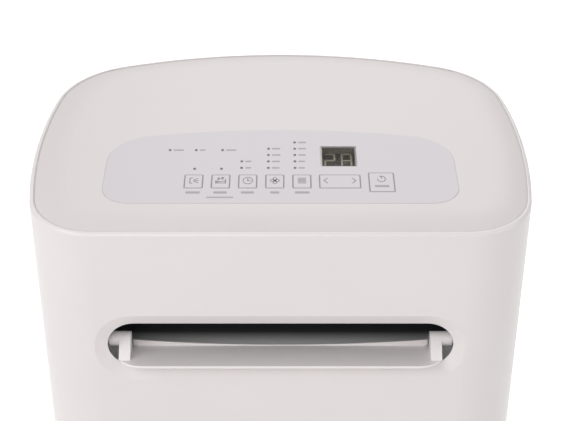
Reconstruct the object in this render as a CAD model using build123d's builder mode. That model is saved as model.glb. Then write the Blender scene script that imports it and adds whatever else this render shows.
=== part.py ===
from build123d import *
from math import atan2, cos, degrees, hypot, radians, sin, sqrt
import os

# Portable dehumidifying air conditioner, standing on four castors.
# Millimetres, +Z up, front towards -Y, origin on the floor under the middle.

# ---- cabinet ----
body_width = 440
body_depth = 311.4
front_corner_radius = 58.5
rear_corner_radius = 84.9
side_radius = 530.6              # the sides bow out gently
back_radius = 487.2              # and so does the back
side_bow_set_back = 125.9        # the cabinet is widest this far behind the front
rim_z = 700
tray_height = 16
wall = 2.5
rim_width = 3.7
rim_round = 3.0
split_y = 30                     # seam between the front and the rear housing
seam_gap = 0.3

# ---- top cover ----
cover_gap = 0.6
cover_seat_depth = 8             # below the rim
cover_ledge = 4
ledge_reach = 8
cover_edge_drop = 0.5            # the cover's edge lies this far below the rim
crown_rise = 4.0                 # from the cover's edge to its flat middle
crown_width = 28
cover_skin = 3.0
cover_edge_round = 0.8
roll_margin = 1.0                # the rolling cut runs this far past the cover

# ---- control panel ----
overlay_width = 306
overlay_set_back = 40.2          # behind the front
overlay_depth = 118.5
overlay_back_radius = 667
overlay_front_round = 24
overlay_rear_round = 42
overlay_recess = 0.4
overlay_thickness = 0.6
overlay_gap = 0.25
overlay_hole_gap = 0.05          # the cover's holes are this much wider than the overlay's
key_gap = 0.25
key_row_set_back = 33.2          # middle of the keys, behind the overlay's front edge
key_pitch = 23.4
first_key_x = -75.1
key_width = 16
key_depth = 21.2
key_round = 1.2
key_travel = 0.4
key_proud = 0.15                 # above the overlay
key_flange = 1.0
key_flange_thickness = 1.2
key_seat_gap = 0.2
rocker_x = 51.4
rocker_width = 35.6
rocker_tilt_gap = 0.55
power_key_x = 87.4
power_key_set_back = 32
power_key_width = 22
power_key_depth = 30
lamp_radius = 1.0
lamp_gap = 0.15
lamp_pitch = 10.5
lamp_row_gap = 21.7              # first row of lamps, behind the middle of the keys
lamp_shift = 5.8                 # timer, fan and mode lamps stand left of their keys
key_lamp_shift = 1.5             # swing and sleep lamps stand nearer their keys
status_lamp_gap = 29.1           # behind the first row of lamps
display_gap = 40.8               # middle of the display, behind the middle of the keys
display_width = 29.5
display_depth = 31
window_lip = 1.2
window_gap = 0.1
display_recess = 7.0
module_margin = 3.5
board_left_inset = 48            # from the overlay's edges
board_right_inset = 41
board_front_inset = 8.5
board_back_inset = 11
board_thickness = 1.6
board_drop = 10.5                # below the rim
board_post_radius = 3.5
board_post_inset = 5
switch_size = 6
switch_plunger_radius = 1.7
switch_body_height = 5
switch_gap = 0.05                # between a pressed key and its switch

# ---- air outlet ----
outlet_drop = 121.8              # middle of the outlet, below the rim
outlet_half_width = 151
outlet_radius = 24
bevel_width = 11.5
bevel_depth = 4.5
outlet_relief = 1.5              # the opening's back edge is cut away for the turning flap
outlet_frame_edge = 3
flap_depth = 5.0                 # outer face of the closed flap behind the front
flap_gap = 1.5                   # above and below the closed flap
flap_end_gap = 8.5               # its round ends swing clear of the opening's
flap_thickness = 2.4
flap_pivot_back = 16             # pivot behind the flap's outer face
flap_pivot_drop = 6.2            # pivot below the middle of the outlet
flap_open_angle = 75             # the flap is modelled open by this much
flap_arm_x = 132
flap_arm_width = 10
flap_arm_grip = 11               # the arm meets the plate this far above and below its middle
flap_hub_radius = 6.5
flap_hub_end_x = 151
flap_pin_radius = 4
pin_clearance = 0.08
pin_stand = 0.5                  # the left pin stands out of its bearing by this much
motor_socket_depth = 9
motor_socket_gap = 1
flap_rib_thickness = 1.4
flap_rib_low = 0.6
flap_rib_high = 5.5
duct_side_gap = 3                # outside the outlet's ends
duct_wall = 2.5
duct_floor_drop = 32.2           # below the middle of the outlet
duct_roof_rise = 28.8            # above the middle of the outlet
duct_case_gap = 3                # behind the blower's case
duct_back_round = 25
swing_motor_radius = 14
swing_motor_offset = 8
swing_motor_length = 18

# ---- decks and floor ----
deck_ledge_width = 6
deck_ledge_height = 4
tray_headroom = 10               # above the castors' wheels
tray_floor = 3
tray_upstand = 18
tray_wall = 2.5
tray_fit = 0.3
deck_z = 300
deck_floor = 3
deck_upstand = 12
deck_fit = 0.4
deck_rail_inset = 5              # rails under the evaporator, from its faces
rail_width = 6
pipe_hole_gap = 1

# ---- castors ----
castor_front_inset = 55          # from the widest side
castor_front_set_back = 60.7
castor_rear_inset = 52
castor_rear_set_in = 70.7        # from the back
wheel_radius = 20
wheel_width = 17
castor_trail = 14
axle_radius = 3
axle_clearance = 0.08
fork_wall = 3
fork_gap = 0.6
fork_top_gap = 0.4
fork_crown = 5
stem_radius = 5.5
stem_clearance = 0.08
stem_length = 24
socket_wall = 4
socket_gap = 1                   # above the stem's end
fork_arm_radius = 8
wheel_edge_round = 2
wheel_dish = 2                   # depth of the hollow between rim and hub
wheel_rim = 5
wheel_hub = 3

# ---- evaporator side (upper half) ----
evaporator_side_gap = 78
evaporator_back_gap = 45.7
coil_thickness = 40
evaporator_rise = 6              # above the underside of the mid deck
evaporator_height = 254
tube_radius = 4.5
bend_radius = 12
bend_rows = 6
evaporator_blower_drop = 116     # below the duct's floor
evaporator_case_radius = 112
evaporator_case_x = 10
evaporator_case_depth = 80
evaporator_case_gap = 65         # in front of the coil
evaporator_wheel_radius = 90
evaporator_motor_radius = 42
evaporator_motor_length = 36

# ---- condenser side (lower half) ----
condenser_side_gap = 68
condenser_front_gap = 55.7
condenser_back_gap = 59.7
condenser_rise = 19              # above the tray's floor
condenser_headroom = 12          # below the mid deck
condenser_rail_inset = 15
condenser_blower_rise = 119      # above the tray's floor
condenser_case_radius = 90
condenser_case_width = 80
condenser_case_gap = 27          # beside the coil
condenser_wheel_radius = 72
condenser_motor_radius = 34
condenser_motor_length = 40
case_wall = 2.5
eye_ratio = 0.8                  # a blower's eye against its wheel
blade_count = 30
blade_thickness = 1.2
blade_length = 12
blade_turn = 25                  # degrees forward of the radius
wheel_plate = 2                  # back plate and shroud ring
eye_bearing_gap = 2              # round the shaft, where it enters the case
foot_width = 16
foot_set_in = 5                  # from the case's faces
foot_overlap = 12                # the foot rises this far over the case's lowest point
evaporator_foot_spread = 80
condenser_foot_spread = 70
evaporator_wheel_drop = 5        # the wheel's axis is below the middle of the scroll
condenser_wheel_drop = 6
shaft_share = 0.8                # how far the shaft runs into its motor
shaft_radius = 4
wheel_side_gap = 5

# ---- exhaust ----
collar_rise = 45                 # above the condenser blower's middle
collar_bore_radius = 65
collar_wall = 2.5
collar_box_size = 140
collar_box_gap = 37.7            # from the back
collar_box_depth = 16
collar_hole_gap = 1.0

# ---- compressor and pipes ----
compressor_shift = 7.5           # past the middle between the side and the condenser fan's motor
compressor_y = 25
compressor_radius = 58
compressor_rise = 19             # above the tray's floor
compressor_height = 176
compressor_shell = 4
shoulder_radius = 20
foot_thickness = 4
stub_length = 6
stub_sink = 1                    # the stubs start this far inside the shells
foot_circle = 70
grommet_radius = 11
grommet_height = 12
grommet_pin_radius = 4
grommet_pin_gap = 0.3
grommet_pin_drop = 1             # the pin ends below the compressor's foot
accumulator_gap = 87             # in front of the compressor's axis
accumulator_radius = 20
accumulator_rise = 38
accumulator_height = 122
accumulator_shoulder = 8
strap_width = 12
strap_height = 20
strap_low = 40                   # above the accumulator's foot
strap_sink = 3                   # into both vessels
valve_edge_round = 3
liquid_rise = 40                 # the liquid line enters this far up the evaporator
pipe_radius = 4
pipe_bend = 9
valve_gap = 60                   # beside the compressor's axis
valve_length = 70
valve_radius = 11
pipe_headroom = 30               # below the mid deck
liquid_inset = 12                # from the evaporator's end
liquid_gap = 18                  # in front of the evaporator
pipe_end_gap = 0.3

# ---- slinger and float switch ----
slinger_gap = 13                 # beside the condenser
slinger_y = -20
slinger_rise = 31                # above the tray's floor
slinger_radius = 26
slinger_width = 6
slinger_scoops = 12
slinger_scoop_depth = 4.5
slinger_scoop_width = 3
slinger_motor_gap = 4            # beside the slinger wheel
slinger_motor_radius = 15
slinger_motor_length = 26
slinger_shaft_radius = 3
slinger_shaft_length = 25
slinger_socket_depth = 20
slinger_bracket_width = 16
float_x = 20
float_front_gap = 37.7
float_stem_radius = 3
float_stop_radius = 6
float_stop_height = 3
float_stop_gap = 1               # above the float's highest place
float_radius = 10
float_height = 12
float_rise = 7                   # above the tray's floor
float_travel = 10

# ---- electrical parts ----
box_side_gap = 22                # from the widest side
box_width = 66
box_front_gap = 39.7
box_length = 80
box_duct_gap = 23.5              # under the outlet duct
box_wall = 2.5
board_stand_off = 4
stand_radius = 3
stand_inset_y = 12
stand_inset_z = 20
board_margin_y = 6
board_margin_z = 12
transformer = (57, 34, 28)       # height over the deck, size, thickness
first_relay = (102, 20, 16)
second_relay = (127, 20, 16)
connector_block = (167, 28, 12)
capacitor_side_gap = 62
capacitor_front_gap = 80.7
capacitor_radius = 20
capacitor_height = 68
capacitor_edge_round = 2

# ---- filter and drains ----
filter_side_gap = 80
filter_rise = 14                 # above the evaporator's foot
filter_drop = 4                  # below the evaporator's top
filter_gap = 6                   # its middle, behind the evaporator
filter_thickness = 4
filter_slot_gap = 0.5
filter_frame = 9
filter_mesh = 1.2
filter_columns = 4
filter_rows = 3
shelf_gap = 0.3
shelf_thickness = 3.7
groove_lip = 1.5
groove_depth = 4
filter_tab_height = 60
filter_tab_reach = 6
spout_x = -86
spout_radius = 6
spout_bore = 4
upper_spout_rise = 9             # above the underside of the mid deck
lower_spout_rise = 8             # above the underside of the tray
plug_clearance = 0.05
plug_length = 18
plug_head_radius = 9
plug_head_length = 5
spout_stand = 3
spout_inside = 1                 # the spout reaches this far inside the tray's wall
plug_edge_round = 1
hole_gap = 0.3

# ---- side handles and gland ----
handle_length = 70
handle_back_gap = 47.7
handle_drop = 114                # below the rim
handle_height = 36
handle_depth = 24
handle_wall = 2.5
handle_fit = 0.3
gland_side_gap = 70
gland_rise = 58                  # above the underside of the tray
gland_radius = 9
gland_bore = 4
gland_length = 20
gland_stand = 4
gland_collar_width = 4           # inside the wall
gland_collar_thickness = 3

# ---- screws ----
screw_angles = [-14, -5.5, 5.5, 14]      # round the back, from its middle
lower_screw_rise = 9             # above the housing's lower edge
upper_screw_rise = 8             # above the underside of the mid deck
screw_radius = 2
screw_length = 12
screw_head_radius = 4.5
screw_head_height = 2.2
screw_slot = 1.2
screw_thread_gap = 0.05
screw_pass_gap = 0.3

# ---- louvres ----
louvre_height = 5
louvre_pitch = 10
upper_louvre_width = 76
upper_louvre_pitch = 84
upper_louvre_columns = 3
upper_louvre_rows = 22
upper_louvre_clearance = 6       # behind the filter
lower_louvre_width = 90
lower_louvre_x = -95
lower_louvre_rows = 13
lower_louvre_rise = 20           # above the middle of the lower half
side_louvre_rows = 17
side_louvre_reach = 60
side_louvre_low_y = 48
side_louvre_high_y = 104

# ---- places worked out from the sizes above ----
front_y = -body_depth / 2
back_y = body_depth / 2
side_centre_y = front_y + side_bow_set_back
tray_bottom_z = 2 * wheel_radius + tray_headroom
tray_top_z = tray_bottom_z + tray_floor
housing_bottom = tray_bottom_z + tray_height
deck_top_z = deck_z + deck_floor
condenser_low_x = body_width / 2 - condenser_side_gap - coil_thickness
condenser_case_high_x = condenser_low_x - condenser_case_gap
condenser_case_low_x = condenser_case_high_x - condenser_case_width
collar_x = (condenser_case_low_x + condenser_case_high_x) / 2
plateau_z = rim_z - cover_edge_drop + crown_rise
cover_under_z = plateau_z - cover_skin
cover_inset = rim_width + cover_gap
overlay_low_z = plateau_z - overlay_recess
overlay_top_z = overlay_low_z + overlay_thickness
key_top_z = overlay_top_z + key_proud
flange_top_z = cover_under_z - key_seat_gap
switch_top_z = flange_top_z - key_flange_thickness - key_travel - switch_gap
lip_y = front_y + bevel_depth
frame_back_y = lip_y + wall
pivot_y = front_y + flap_depth + flap_pivot_back
outlet_z = rim_z - outlet_drop
pivot_z = outlet_z - flap_pivot_drop
flap_radius = outlet_radius - flap_gap
flap_half_width = outlet_half_width - flap_end_gap
flap_top_arm = outlet_z + flap_radius - pivot_z
open_turn = radians(flap_open_angle)
flap_reach = flap_pivot_back * cos(open_turn) + flap_top_arm * sin(open_turn) - flap_pivot_back - flap_depth
collar_end_y = back_y + flap_reach       # stands out behind as far as the open flap does in front
cover_seat_z = rim_z - cover_seat_depth
overlay_front_y = front_y + overlay_set_back
overlay_back_y = overlay_front_y + overlay_depth
key_row_y = overlay_front_y + key_row_set_back
power_key_y = overlay_front_y + power_key_set_back
lamp_row_y = key_row_y + lamp_row_gap
status_lamp_y = lamp_row_y + status_lamp_gap
display_x = rocker_x
display_y = key_row_y + display_gap
board_low_x = board_left_inset - overlay_width / 2
board_high_x = overlay_width / 2 - board_right_inset
board_low_y = overlay_front_y + board_front_inset
board_high_y = overlay_back_y - board_back_inset
board_top_z = rim_z - board_drop
duct_half_width = outlet_half_width + duct_side_gap
duct_floor_z = outlet_z - duct_floor_drop
duct_top_z = outlet_z + duct_roof_rise
evaporator_front_y = back_y - evaporator_back_gap - coil_thickness
evaporator_case_back_y = evaporator_front_y - evaporator_case_gap
duct_back_y = evaporator_case_back_y + duct_case_gap
castor_front_x = body_width / 2 - castor_front_inset
castor_front_y = front_y + castor_front_set_back
castor_rear_x = body_width / 2 - castor_rear_inset
castor_rear_y = back_y - castor_rear_set_in
evaporator_half_width = body_width / 2 - evaporator_side_gap
evaporator_low_z = deck_z + evaporator_rise
evaporator_high_z = evaporator_low_z + evaporator_height
evaporator_blower_z = duct_floor_z - evaporator_blower_drop
evaporator_case_front_y = evaporator_case_back_y - evaporator_case_depth
condenser_front_y = front_y + condenser_front_gap
condenser_back_y = back_y - condenser_back_gap
condenser_low_z = tray_top_z + condenser_rise
condenser_high_z = deck_z - condenser_headroom
condenser_blower_z = tray_top_z + condenser_blower_rise
collar_z = condenser_blower_z + collar_rise
collar_box_front_y = back_y - collar_box_gap
condenser_motor_end_x = condenser_case_low_x - condenser_motor_length
compressor_x = (condenser_motor_end_x - body_width / 2) / 2 + compressor_shift
compressor_low_z = tray_top_z + compressor_rise
compressor_high_z = compressor_low_z + compressor_height
accumulator_y = compressor_y - accumulator_gap
accumulator_low_z = compressor_low_z + accumulator_rise
accumulator_high_z = accumulator_low_z + accumulator_height
valve_x = compressor_x + valve_gap
pipe_top_z = deck_z - pipe_headroom
liquid_x = evaporator_half_width - liquid_inset
liquid_y = evaporator_front_y - liquid_gap
slinger_x = condenser_low_x + coil_thickness + slinger_gap
slinger_z = tray_top_z + slinger_rise
slinger_motor_x = slinger_x + slinger_width + slinger_motor_gap
float_y = front_y + float_front_gap
float_rest_z = tray_top_z + float_rise
box_low_x = box_side_gap - body_width / 2
box_high_x = box_low_x + box_width
box_front_y = front_y + box_front_gap
box_back_y = box_front_y + box_length
box_high_z = duct_floor_z - duct_wall - box_duct_gap
capacitor_x = body_width / 2 - capacitor_side_gap
capacitor_y = front_y + capacitor_front_gap
filter_half_width = body_width / 2 - filter_side_gap
filter_low_z = evaporator_low_z + filter_rise
filter_high_z = evaporator_high_z - filter_drop
filter_y = evaporator_front_y + coil_thickness + filter_gap
upper_spout_z = deck_z + upper_spout_rise
lower_spout_z = tray_bottom_z + lower_spout_rise
handle_high_y = back_y - handle_back_gap
handle_low_y = handle_high_y - handle_length
handle_low_z = rim_z - handle_drop
handle_high_z = handle_low_z + handle_height
gland_x = gland_side_gap - body_width / 2
gland_z = tray_bottom_z + gland_rise
lower_screw_z = housing_bottom + lower_screw_rise
upper_screw_z = deck_z + upper_screw_rise
pivot_axis = Axis((0, pivot_y, pivot_z), (1, 0, 0))
key_names = ["swing", "sleep", "timer", "fan", "mode"]
key_places = [(first_key_x + key_pitch * step, key_row_y) for step in range(len(key_names))]
rocker_place = (rocker_x, key_row_y)
power_place = (power_key_x, power_key_y)
castor_places = [
    (-castor_front_x, castor_front_y),
    (castor_front_x, castor_front_y),
    (-castor_rear_x, castor_rear_y),
    (castor_rear_x, castor_rear_y),
]

os.makedirs("parts", exist_ok=True)


def finish(piece, name):
    piece.part.label = name
    export_step(piece.part, f"parts/{name}.step")
    print(name, round(piece.part.volume))


def beyond(centre, through, reach):
    """Point on the ray from centre through another point, at a given distance."""
    length = hypot(through[0] - centre[0], through[1] - centre[1])
    share = reach / length
    return (centre[0] + (through[0] - centre[0]) * share, centre[1] + (through[1] - centre[1]) * share)


def meeting_point(first, first_reach, second, second_reach):
    """Point at first_reach from one centre and second_reach from another, on the right and rear."""
    span = hypot(second[0] - first[0], second[1] - first[1])
    along = (first_reach**2 - second_reach**2 + span**2) / (2 * span)
    aside = sqrt(first_reach**2 - along**2)
    along_x = (second[0] - first[0]) / span
    along_y = (second[1] - first[1]) / span
    return (first[0] + along_x * along - along_y * aside, first[1] + along_y * along + along_x * aside)


# ---- plan of the cabinet: straight front, bowed sides and back, tangent corners ----
side_centre = (body_width / 2 - side_radius, side_centre_y)
back_centre = (0, back_y - back_radius)
corner_y = front_y + front_corner_radius
corner_reach = side_radius - front_corner_radius
corner_x = side_centre[0] + sqrt(corner_reach**2 - (corner_y - side_centre_y) ** 2)
rear_corner = meeting_point(
    side_centre, side_radius - rear_corner_radius, back_centre, back_radius - rear_corner_radius
)
side_start = beyond(side_centre, (corner_x, corner_y), side_radius)
side_end = beyond(side_centre, rear_corner, side_radius)
back_start = beyond(back_centre, rear_corner, back_radius)

with BuildSketch() as body_plan:
    with BuildLine():
        Line((0, front_y), (corner_x, front_y))
        RadiusArc((corner_x, front_y), side_start, -front_corner_radius)
        RadiusArc(side_start, side_end, -side_radius)
        RadiusArc(side_end, back_start, -rear_corner_radius)
        RadiusArc(back_start, (0, back_y), -back_radius)
        mirror(about=Plane.YZ)
    make_face()


def cabinet_slab(inset, low, high, mode=Mode.ADD):
    """Prism of the cabinet's plan, set in all round, between two heights."""
    with BuildSketch(Plane.XY.offset(low), mode=Mode.PRIVATE) as slab_plan:
        add(body_plan.sketch)
        if inset > 0:
            offset(amount=-inset)
    extrude(slab_plan.sketch, amount=high - low, mode=mode)


def block(x_span, y_span, z_span, mode=Mode.ADD):
    """Box between two values on each axis."""
    middle = ((x_span[0] + x_span[1]) / 2, (y_span[0] + y_span[1]) / 2, (z_span[0] + z_span[1]) / 2)
    with Locations(middle):
        Box(x_span[1] - x_span[0], y_span[1] - y_span[0], z_span[1] - z_span[0], mode=mode)


def rod(start, direction, radius, length, mode=Mode.ADD):
    """Round bar from a point, along a direction."""
    with BuildSketch(Plane(origin=start, z_dir=direction), mode=Mode.PRIVATE) as rod_end:
        Circle(radius)
    extrude(rod_end.sketch, amount=length, mode=mode)


def inward(y, z):
    """Plane facing the front, at one depth, with its centre at height z."""
    return Plane(origin=(0, y, z), x_dir=(1, 0, 0), z_dir=(0, -1, 0))


# ---- housings ----
def housing_walls():
    cabinet_slab(0, housing_bottom, rim_z)
    fillet(edges().group_by(Axis.Z)[-1], radius=rim_round)
    cabinet_slab(wall, housing_bottom, cover_seat_z - cover_ledge, Mode.SUBTRACT)
    cabinet_slab(rim_width + ledge_reach, cover_seat_z - cover_ledge, cover_seat_z, Mode.SUBTRACT)
    cabinet_slab(rim_width, cover_seat_z, rim_z, Mode.SUBTRACT)
    # ledge that carries the mid deck
    cabinet_slab(wall / 2, deck_z - deck_ledge_height, deck_z)
    cabinet_slab(wall + deck_ledge_width, deck_z - deck_ledge_height, deck_z, Mode.SUBTRACT)


with BuildPart() as front_housing:
    housing_walls()
    split(bisect_by=Plane.XZ.offset(-split_y), keep=Keep.TOP)
    # frame that thickens the wall round the outlet
    with BuildSketch(inward(frame_back_y, outlet_z)):
        SlotOverall(
            2 * (outlet_half_width + bevel_width + outlet_frame_edge),
            2 * (outlet_radius + bevel_width + outlet_frame_edge),
        )
    extrude(amount=frame_back_y - front_y - wall / 2)
    # bevel and opening
    with BuildSketch(inward(front_y, outlet_z)):
        SlotOverall(2 * (outlet_half_width + bevel_width), 2 * (outlet_radius + bevel_width))
    with BuildSketch(inward(lip_y, outlet_z)):
        SlotOverall(2 * outlet_half_width, 2 * outlet_radius)
    loft(mode=Mode.SUBTRACT)
    with BuildSketch(inward(frame_back_y, outlet_z)):
        SlotOverall(2 * outlet_half_width, 2 * outlet_radius)
    extrude(amount=frame_back_y - lip_y, mode=Mode.SUBTRACT)
    with BuildSketch(inward(frame_back_y, outlet_z)):
        SlotOverall(2 * (outlet_half_width + outlet_relief), 2 * (outlet_radius + outlet_relief))
    with BuildSketch(inward(frame_back_y - outlet_relief, outlet_z)):
        SlotOverall(2 * outlet_half_width, 2 * outlet_radius)
    loft(mode=Mode.SUBTRACT)
finish(front_housing, "front_housing")


# ---- top cover ----
def panel_holes(grow, low, high):
    """Openings for keys, rocker, display and lamps, each grown by its clearance."""
    key_hole = grow + key_gap
    with BuildSketch(Plane.XY.offset(low), mode=Mode.PRIVATE) as key_holes:
        with Locations(*key_places):
            RectangleRounded(key_width + 2 * key_hole, key_depth + 2 * key_hole, key_round)
        with Locations(rocker_place):
            RectangleRounded(rocker_width + 2 * key_hole, key_depth + 2 * key_hole, key_round)
        with Locations(power_place):
            RectangleRounded(power_key_width + 2 * key_hole, power_key_depth + 2 * key_hole, key_round)
        with Locations(*lamp_places):
            Circle(lamp_radius + lamp_gap + grow)
    extrude(key_holes.sketch, amount=high - low, mode=Mode.SUBTRACT)


status_lamps = [(first_key_x + key_pitch * step, status_lamp_y) for step in (-1, 0, 1)]
key_lamps = [(place[0], lamp_row_y - key_lamp_shift) for place in key_places[:2]]
timer_lamps = [(key_places[2][0] - lamp_shift, lamp_row_y + lamp_pitch * row) for row in range(2)]
fan_lamps = [(key_places[3][0] - lamp_shift, lamp_row_y + lamp_pitch * row) for row in range(4)]
mode_lamps = [(key_places[4][0] - lamp_shift, lamp_row_y + lamp_pitch * row) for row in range(5)]
lamp_places = status_lamps + key_lamps + timer_lamps + fan_lamps + mode_lamps
board_posts = [
    (board_low_x + board_post_inset, board_low_y + board_post_inset),
    (board_high_x - board_post_inset, board_low_y + board_post_inset),
    (board_low_x + board_post_inset, board_high_y - board_post_inset),
    (board_high_x - board_post_inset, board_high_y - board_post_inset),
]

with BuildSketch() as overlay_plan:
    arc_drop = overlay_back_radius - sqrt(overlay_back_radius**2 - (overlay_width / 2) ** 2)
    side_end_y = overlay_back_y - arc_drop
    with BuildLine():
        Line((-overlay_width / 2, overlay_front_y), (overlay_width / 2, overlay_front_y))
        Line((overlay_width / 2, overlay_front_y), (overlay_width / 2, side_end_y))
        ThreePointArc((overlay_width / 2, side_end_y), (0, overlay_back_y), (-overlay_width / 2, side_end_y))
        Line((-overlay_width / 2, side_end_y), (-overlay_width / 2, overlay_front_y))
    make_face()
    fillet(vertices().group_by(Axis.Y)[0], radius=overlay_front_round)
    fillet(vertices().group_by(Axis.Y)[-1], radius=overlay_rear_round)

with BuildPart() as top_cover:
    cabinet_slab(cover_inset, cover_seat_z, plateau_z)
    # the edge rolls down to the rim in one long arc
    cover_outline = faces().sort_by(Axis.Z)[-1].outer_wire()
    roll_width = crown_width - cover_edge_round
    roll_radius = (roll_width**2 + crown_rise**2) / (2 * crown_rise)
    edge_low = -crown_rise - cover_edge_round
    roll_plane = Plane(
        origin=cover_outline @ 0,
        x_dir=Vector(0, 0, 1).cross(cover_outline % 0),
        z_dir=cover_outline % 0,
    )
    with BuildSketch(roll_plane, mode=Mode.PRIVATE) as roll_cut:
        with BuildLine():
            RadiusArc((0, edge_low), (cover_edge_round, -crown_rise), cover_edge_round)
            RadiusArc((cover_edge_round, -crown_rise), (crown_width, 0), roll_radius)
            Line((crown_width, 0), (crown_width, roll_margin))
            Line((crown_width, roll_margin), (-roll_margin, roll_margin))
            Line((-roll_margin, roll_margin), (-roll_margin, edge_low))
            Line((-roll_margin, edge_low), (0, edge_low))
        make_face()
    sweep(roll_cut.sketch, path=cover_outline, mode=Mode.SUBTRACT)
    # hollow underside, deeper under the flat middle
    cabinet_slab(cover_inset + wall, cover_seat_z, cover_under_z - crown_rise, Mode.SUBTRACT)
    cabinet_slab(cover_inset + crown_width, cover_seat_z, cover_under_z, Mode.SUBTRACT)
    # pocket for the overlay, and what shows through it
    with BuildSketch(Plane.XY.offset(overlay_low_z)):
        add(overlay_plan.sketch)
        offset(amount=overlay_gap)
    extrude(amount=overlay_recess, mode=Mode.SUBTRACT)
    panel_holes(overlay_hole_gap, cover_under_z, plateau_z)
    block(
        (display_x - display_width / 2, display_x + display_width / 2),
        (display_y - display_depth / 2, display_y + display_depth / 2),
        (cover_under_z, plateau_z),
        Mode.SUBTRACT,
    )
    for post in board_posts:
        rod((post[0], post[1], board_top_z), (0, 0, 1), board_post_radius, cover_under_z - board_top_z)
finish(top_cover, "top_cover")


# ---- control panel ----
with BuildPart() as control_overlay:
    with BuildSketch(Plane.XY.offset(overlay_low_z)):
        add(overlay_plan.sketch)
    extrude(amount=overlay_thickness)
    panel_holes(0, overlay_low_z, overlay_top_z)
    with BuildSketch(Plane.XY.offset(overlay_low_z)):
        with Locations((display_x, display_y)):
            RectangleRounded(
                display_width + 2 * (window_lip + window_gap),
                display_depth + 2 * (window_lip + window_gap),
                key_round,
            )
    extrude(amount=overlay_thickness, mode=Mode.SUBTRACT)
finish(control_overlay, "control_overlay")


def key_cap(place, width, depth, flange_drop=0.0):
    """Key cap with a flange that keeps it under the cover."""
    flange_top = flange_top_z - flange_drop
    flange_low = flange_top_z - key_flange_thickness
    with BuildSketch(Plane.XY.offset(flange_low), mode=Mode.PRIVATE) as flange:
        with Locations(place):
            Rectangle(width + 2 * key_flange, depth + 2 * key_flange)
    extrude(flange.sketch, amount=flange_top - flange_low)
    with BuildSketch(Plane.XY.offset(flange_top), mode=Mode.PRIVATE) as cap:
        with Locations(place):
            RectangleRounded(width, depth, key_round)
    extrude(cap.sketch, amount=key_top_z - flange_top)


for key_name, key_place in zip(key_names, key_places):
    with BuildPart() as key:
        key_cap(key_place, key_width, key_depth)
    finish(key, "key_" + key_name)

with BuildPart() as key_power:
    key_cap(power_place, power_key_width, power_key_depth)
finish(key_power, "key_power")

with BuildPart() as rocker_key:
    key_cap(rocker_place, rocker_width, key_depth, rocker_tilt_gap - key_seat_gap)
finish(rocker_key, "rocker_key")

with BuildPart() as display_window:
    with BuildSketch(Plane.XY.offset(overlay_low_z)):
        with Locations((display_x, display_y)):
            RectangleRounded(display_width + 2 * window_lip, display_depth + 2 * window_lip, key_round)
    extrude(amount=overlay_thickness)
finish(display_window, "display_window")

with BuildPart() as display_module:
    block(
        (display_x - display_width / 2 - module_margin, display_x + display_width / 2 + module_margin),
        (display_y - display_depth / 2 - module_margin, display_y + display_depth / 2 + module_margin),
        (board_top_z, overlay_low_z - display_recess + overlay_thickness),
    )
finish(display_module, "display_module")

switch_places = key_places + [
    power_place,
    (rocker_x - rocker_width / 3, key_row_y),
    (rocker_x + rocker_width / 3, key_row_y),
]

with BuildPart() as control_board:
    block(
        (board_low_x, board_high_x),
        (board_low_y, board_high_y),
        (board_top_z - board_thickness, board_top_z),
    )
    for place in switch_places:
        block(
            (place[0] - switch_size / 2, place[0] + switch_size / 2),
            (place[1] - switch_size / 2, place[1] + switch_size / 2),
            (board_top_z, board_top_z + switch_body_height),
        )
        rod((place[0], place[1], board_top_z), (0, 0, 1), switch_plunger_radius, switch_top_z - board_top_z)
finish(control_board, "control_board")

with BuildPart() as indicator_lamps:
    for place in lamp_places:
        rod((place[0], place[1], board_top_z), (0, 0, 1), lamp_radius, overlay_top_z - board_top_z)
finish(indicator_lamps, "indicator_lamps")


# ---- air outlet ----
with BuildPart() as outlet_duct:
    block(
        (-duct_half_width - duct_wall, duct_half_width + duct_wall),
        (frame_back_y, duct_back_y + duct_wall),
        (duct_floor_z - duct_wall, duct_top_z + duct_wall),
    )
    fillet(
        edges().filter_by(Axis.X).group_by(Axis.Y)[-1].sort_by(Axis.Z)[-1],
        radius=duct_back_round + duct_wall,
    )
    with BuildSketch(Plane.YZ.offset(-duct_half_width)):
        with Locations(((frame_back_y + duct_back_y) / 2, (duct_floor_z + duct_top_z) / 2)):
            Rectangle(duct_back_y - frame_back_y, duct_top_z - duct_floor_z)
        fillet(vertices().group_by(Axis.Y)[-1].sort_by(Axis.X)[-1], radius=duct_back_round)
    extrude(amount=2 * duct_half_width, mode=Mode.SUBTRACT)
    # the blower blows in through the floor
    block(
        (evaporator_case_x + case_wall, evaporator_case_x + evaporator_case_radius - case_wall),
        (evaporator_case_front_y + case_wall, evaporator_case_back_y - case_wall),
        (duct_floor_z - 2 * duct_wall, duct_floor_z + duct_wall),
        Mode.SUBTRACT,
    )
    # bearings of the flap's pins
    rod(
        (-duct_half_width - duct_wall, pivot_y, pivot_z),
        (1, 0, 0),
        flap_pin_radius + pin_clearance,
        2 * (duct_half_width + duct_wall),
        Mode.SUBTRACT,
    )
finish(outlet_duct, "outlet_duct")

flap_inner_y = front_y + flap_depth + flap_thickness
motor_face_x = duct_half_width + duct_wall
flap_pin_ends = (-motor_face_x - pin_stand, motor_face_x + motor_socket_depth - motor_socket_gap)

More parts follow.
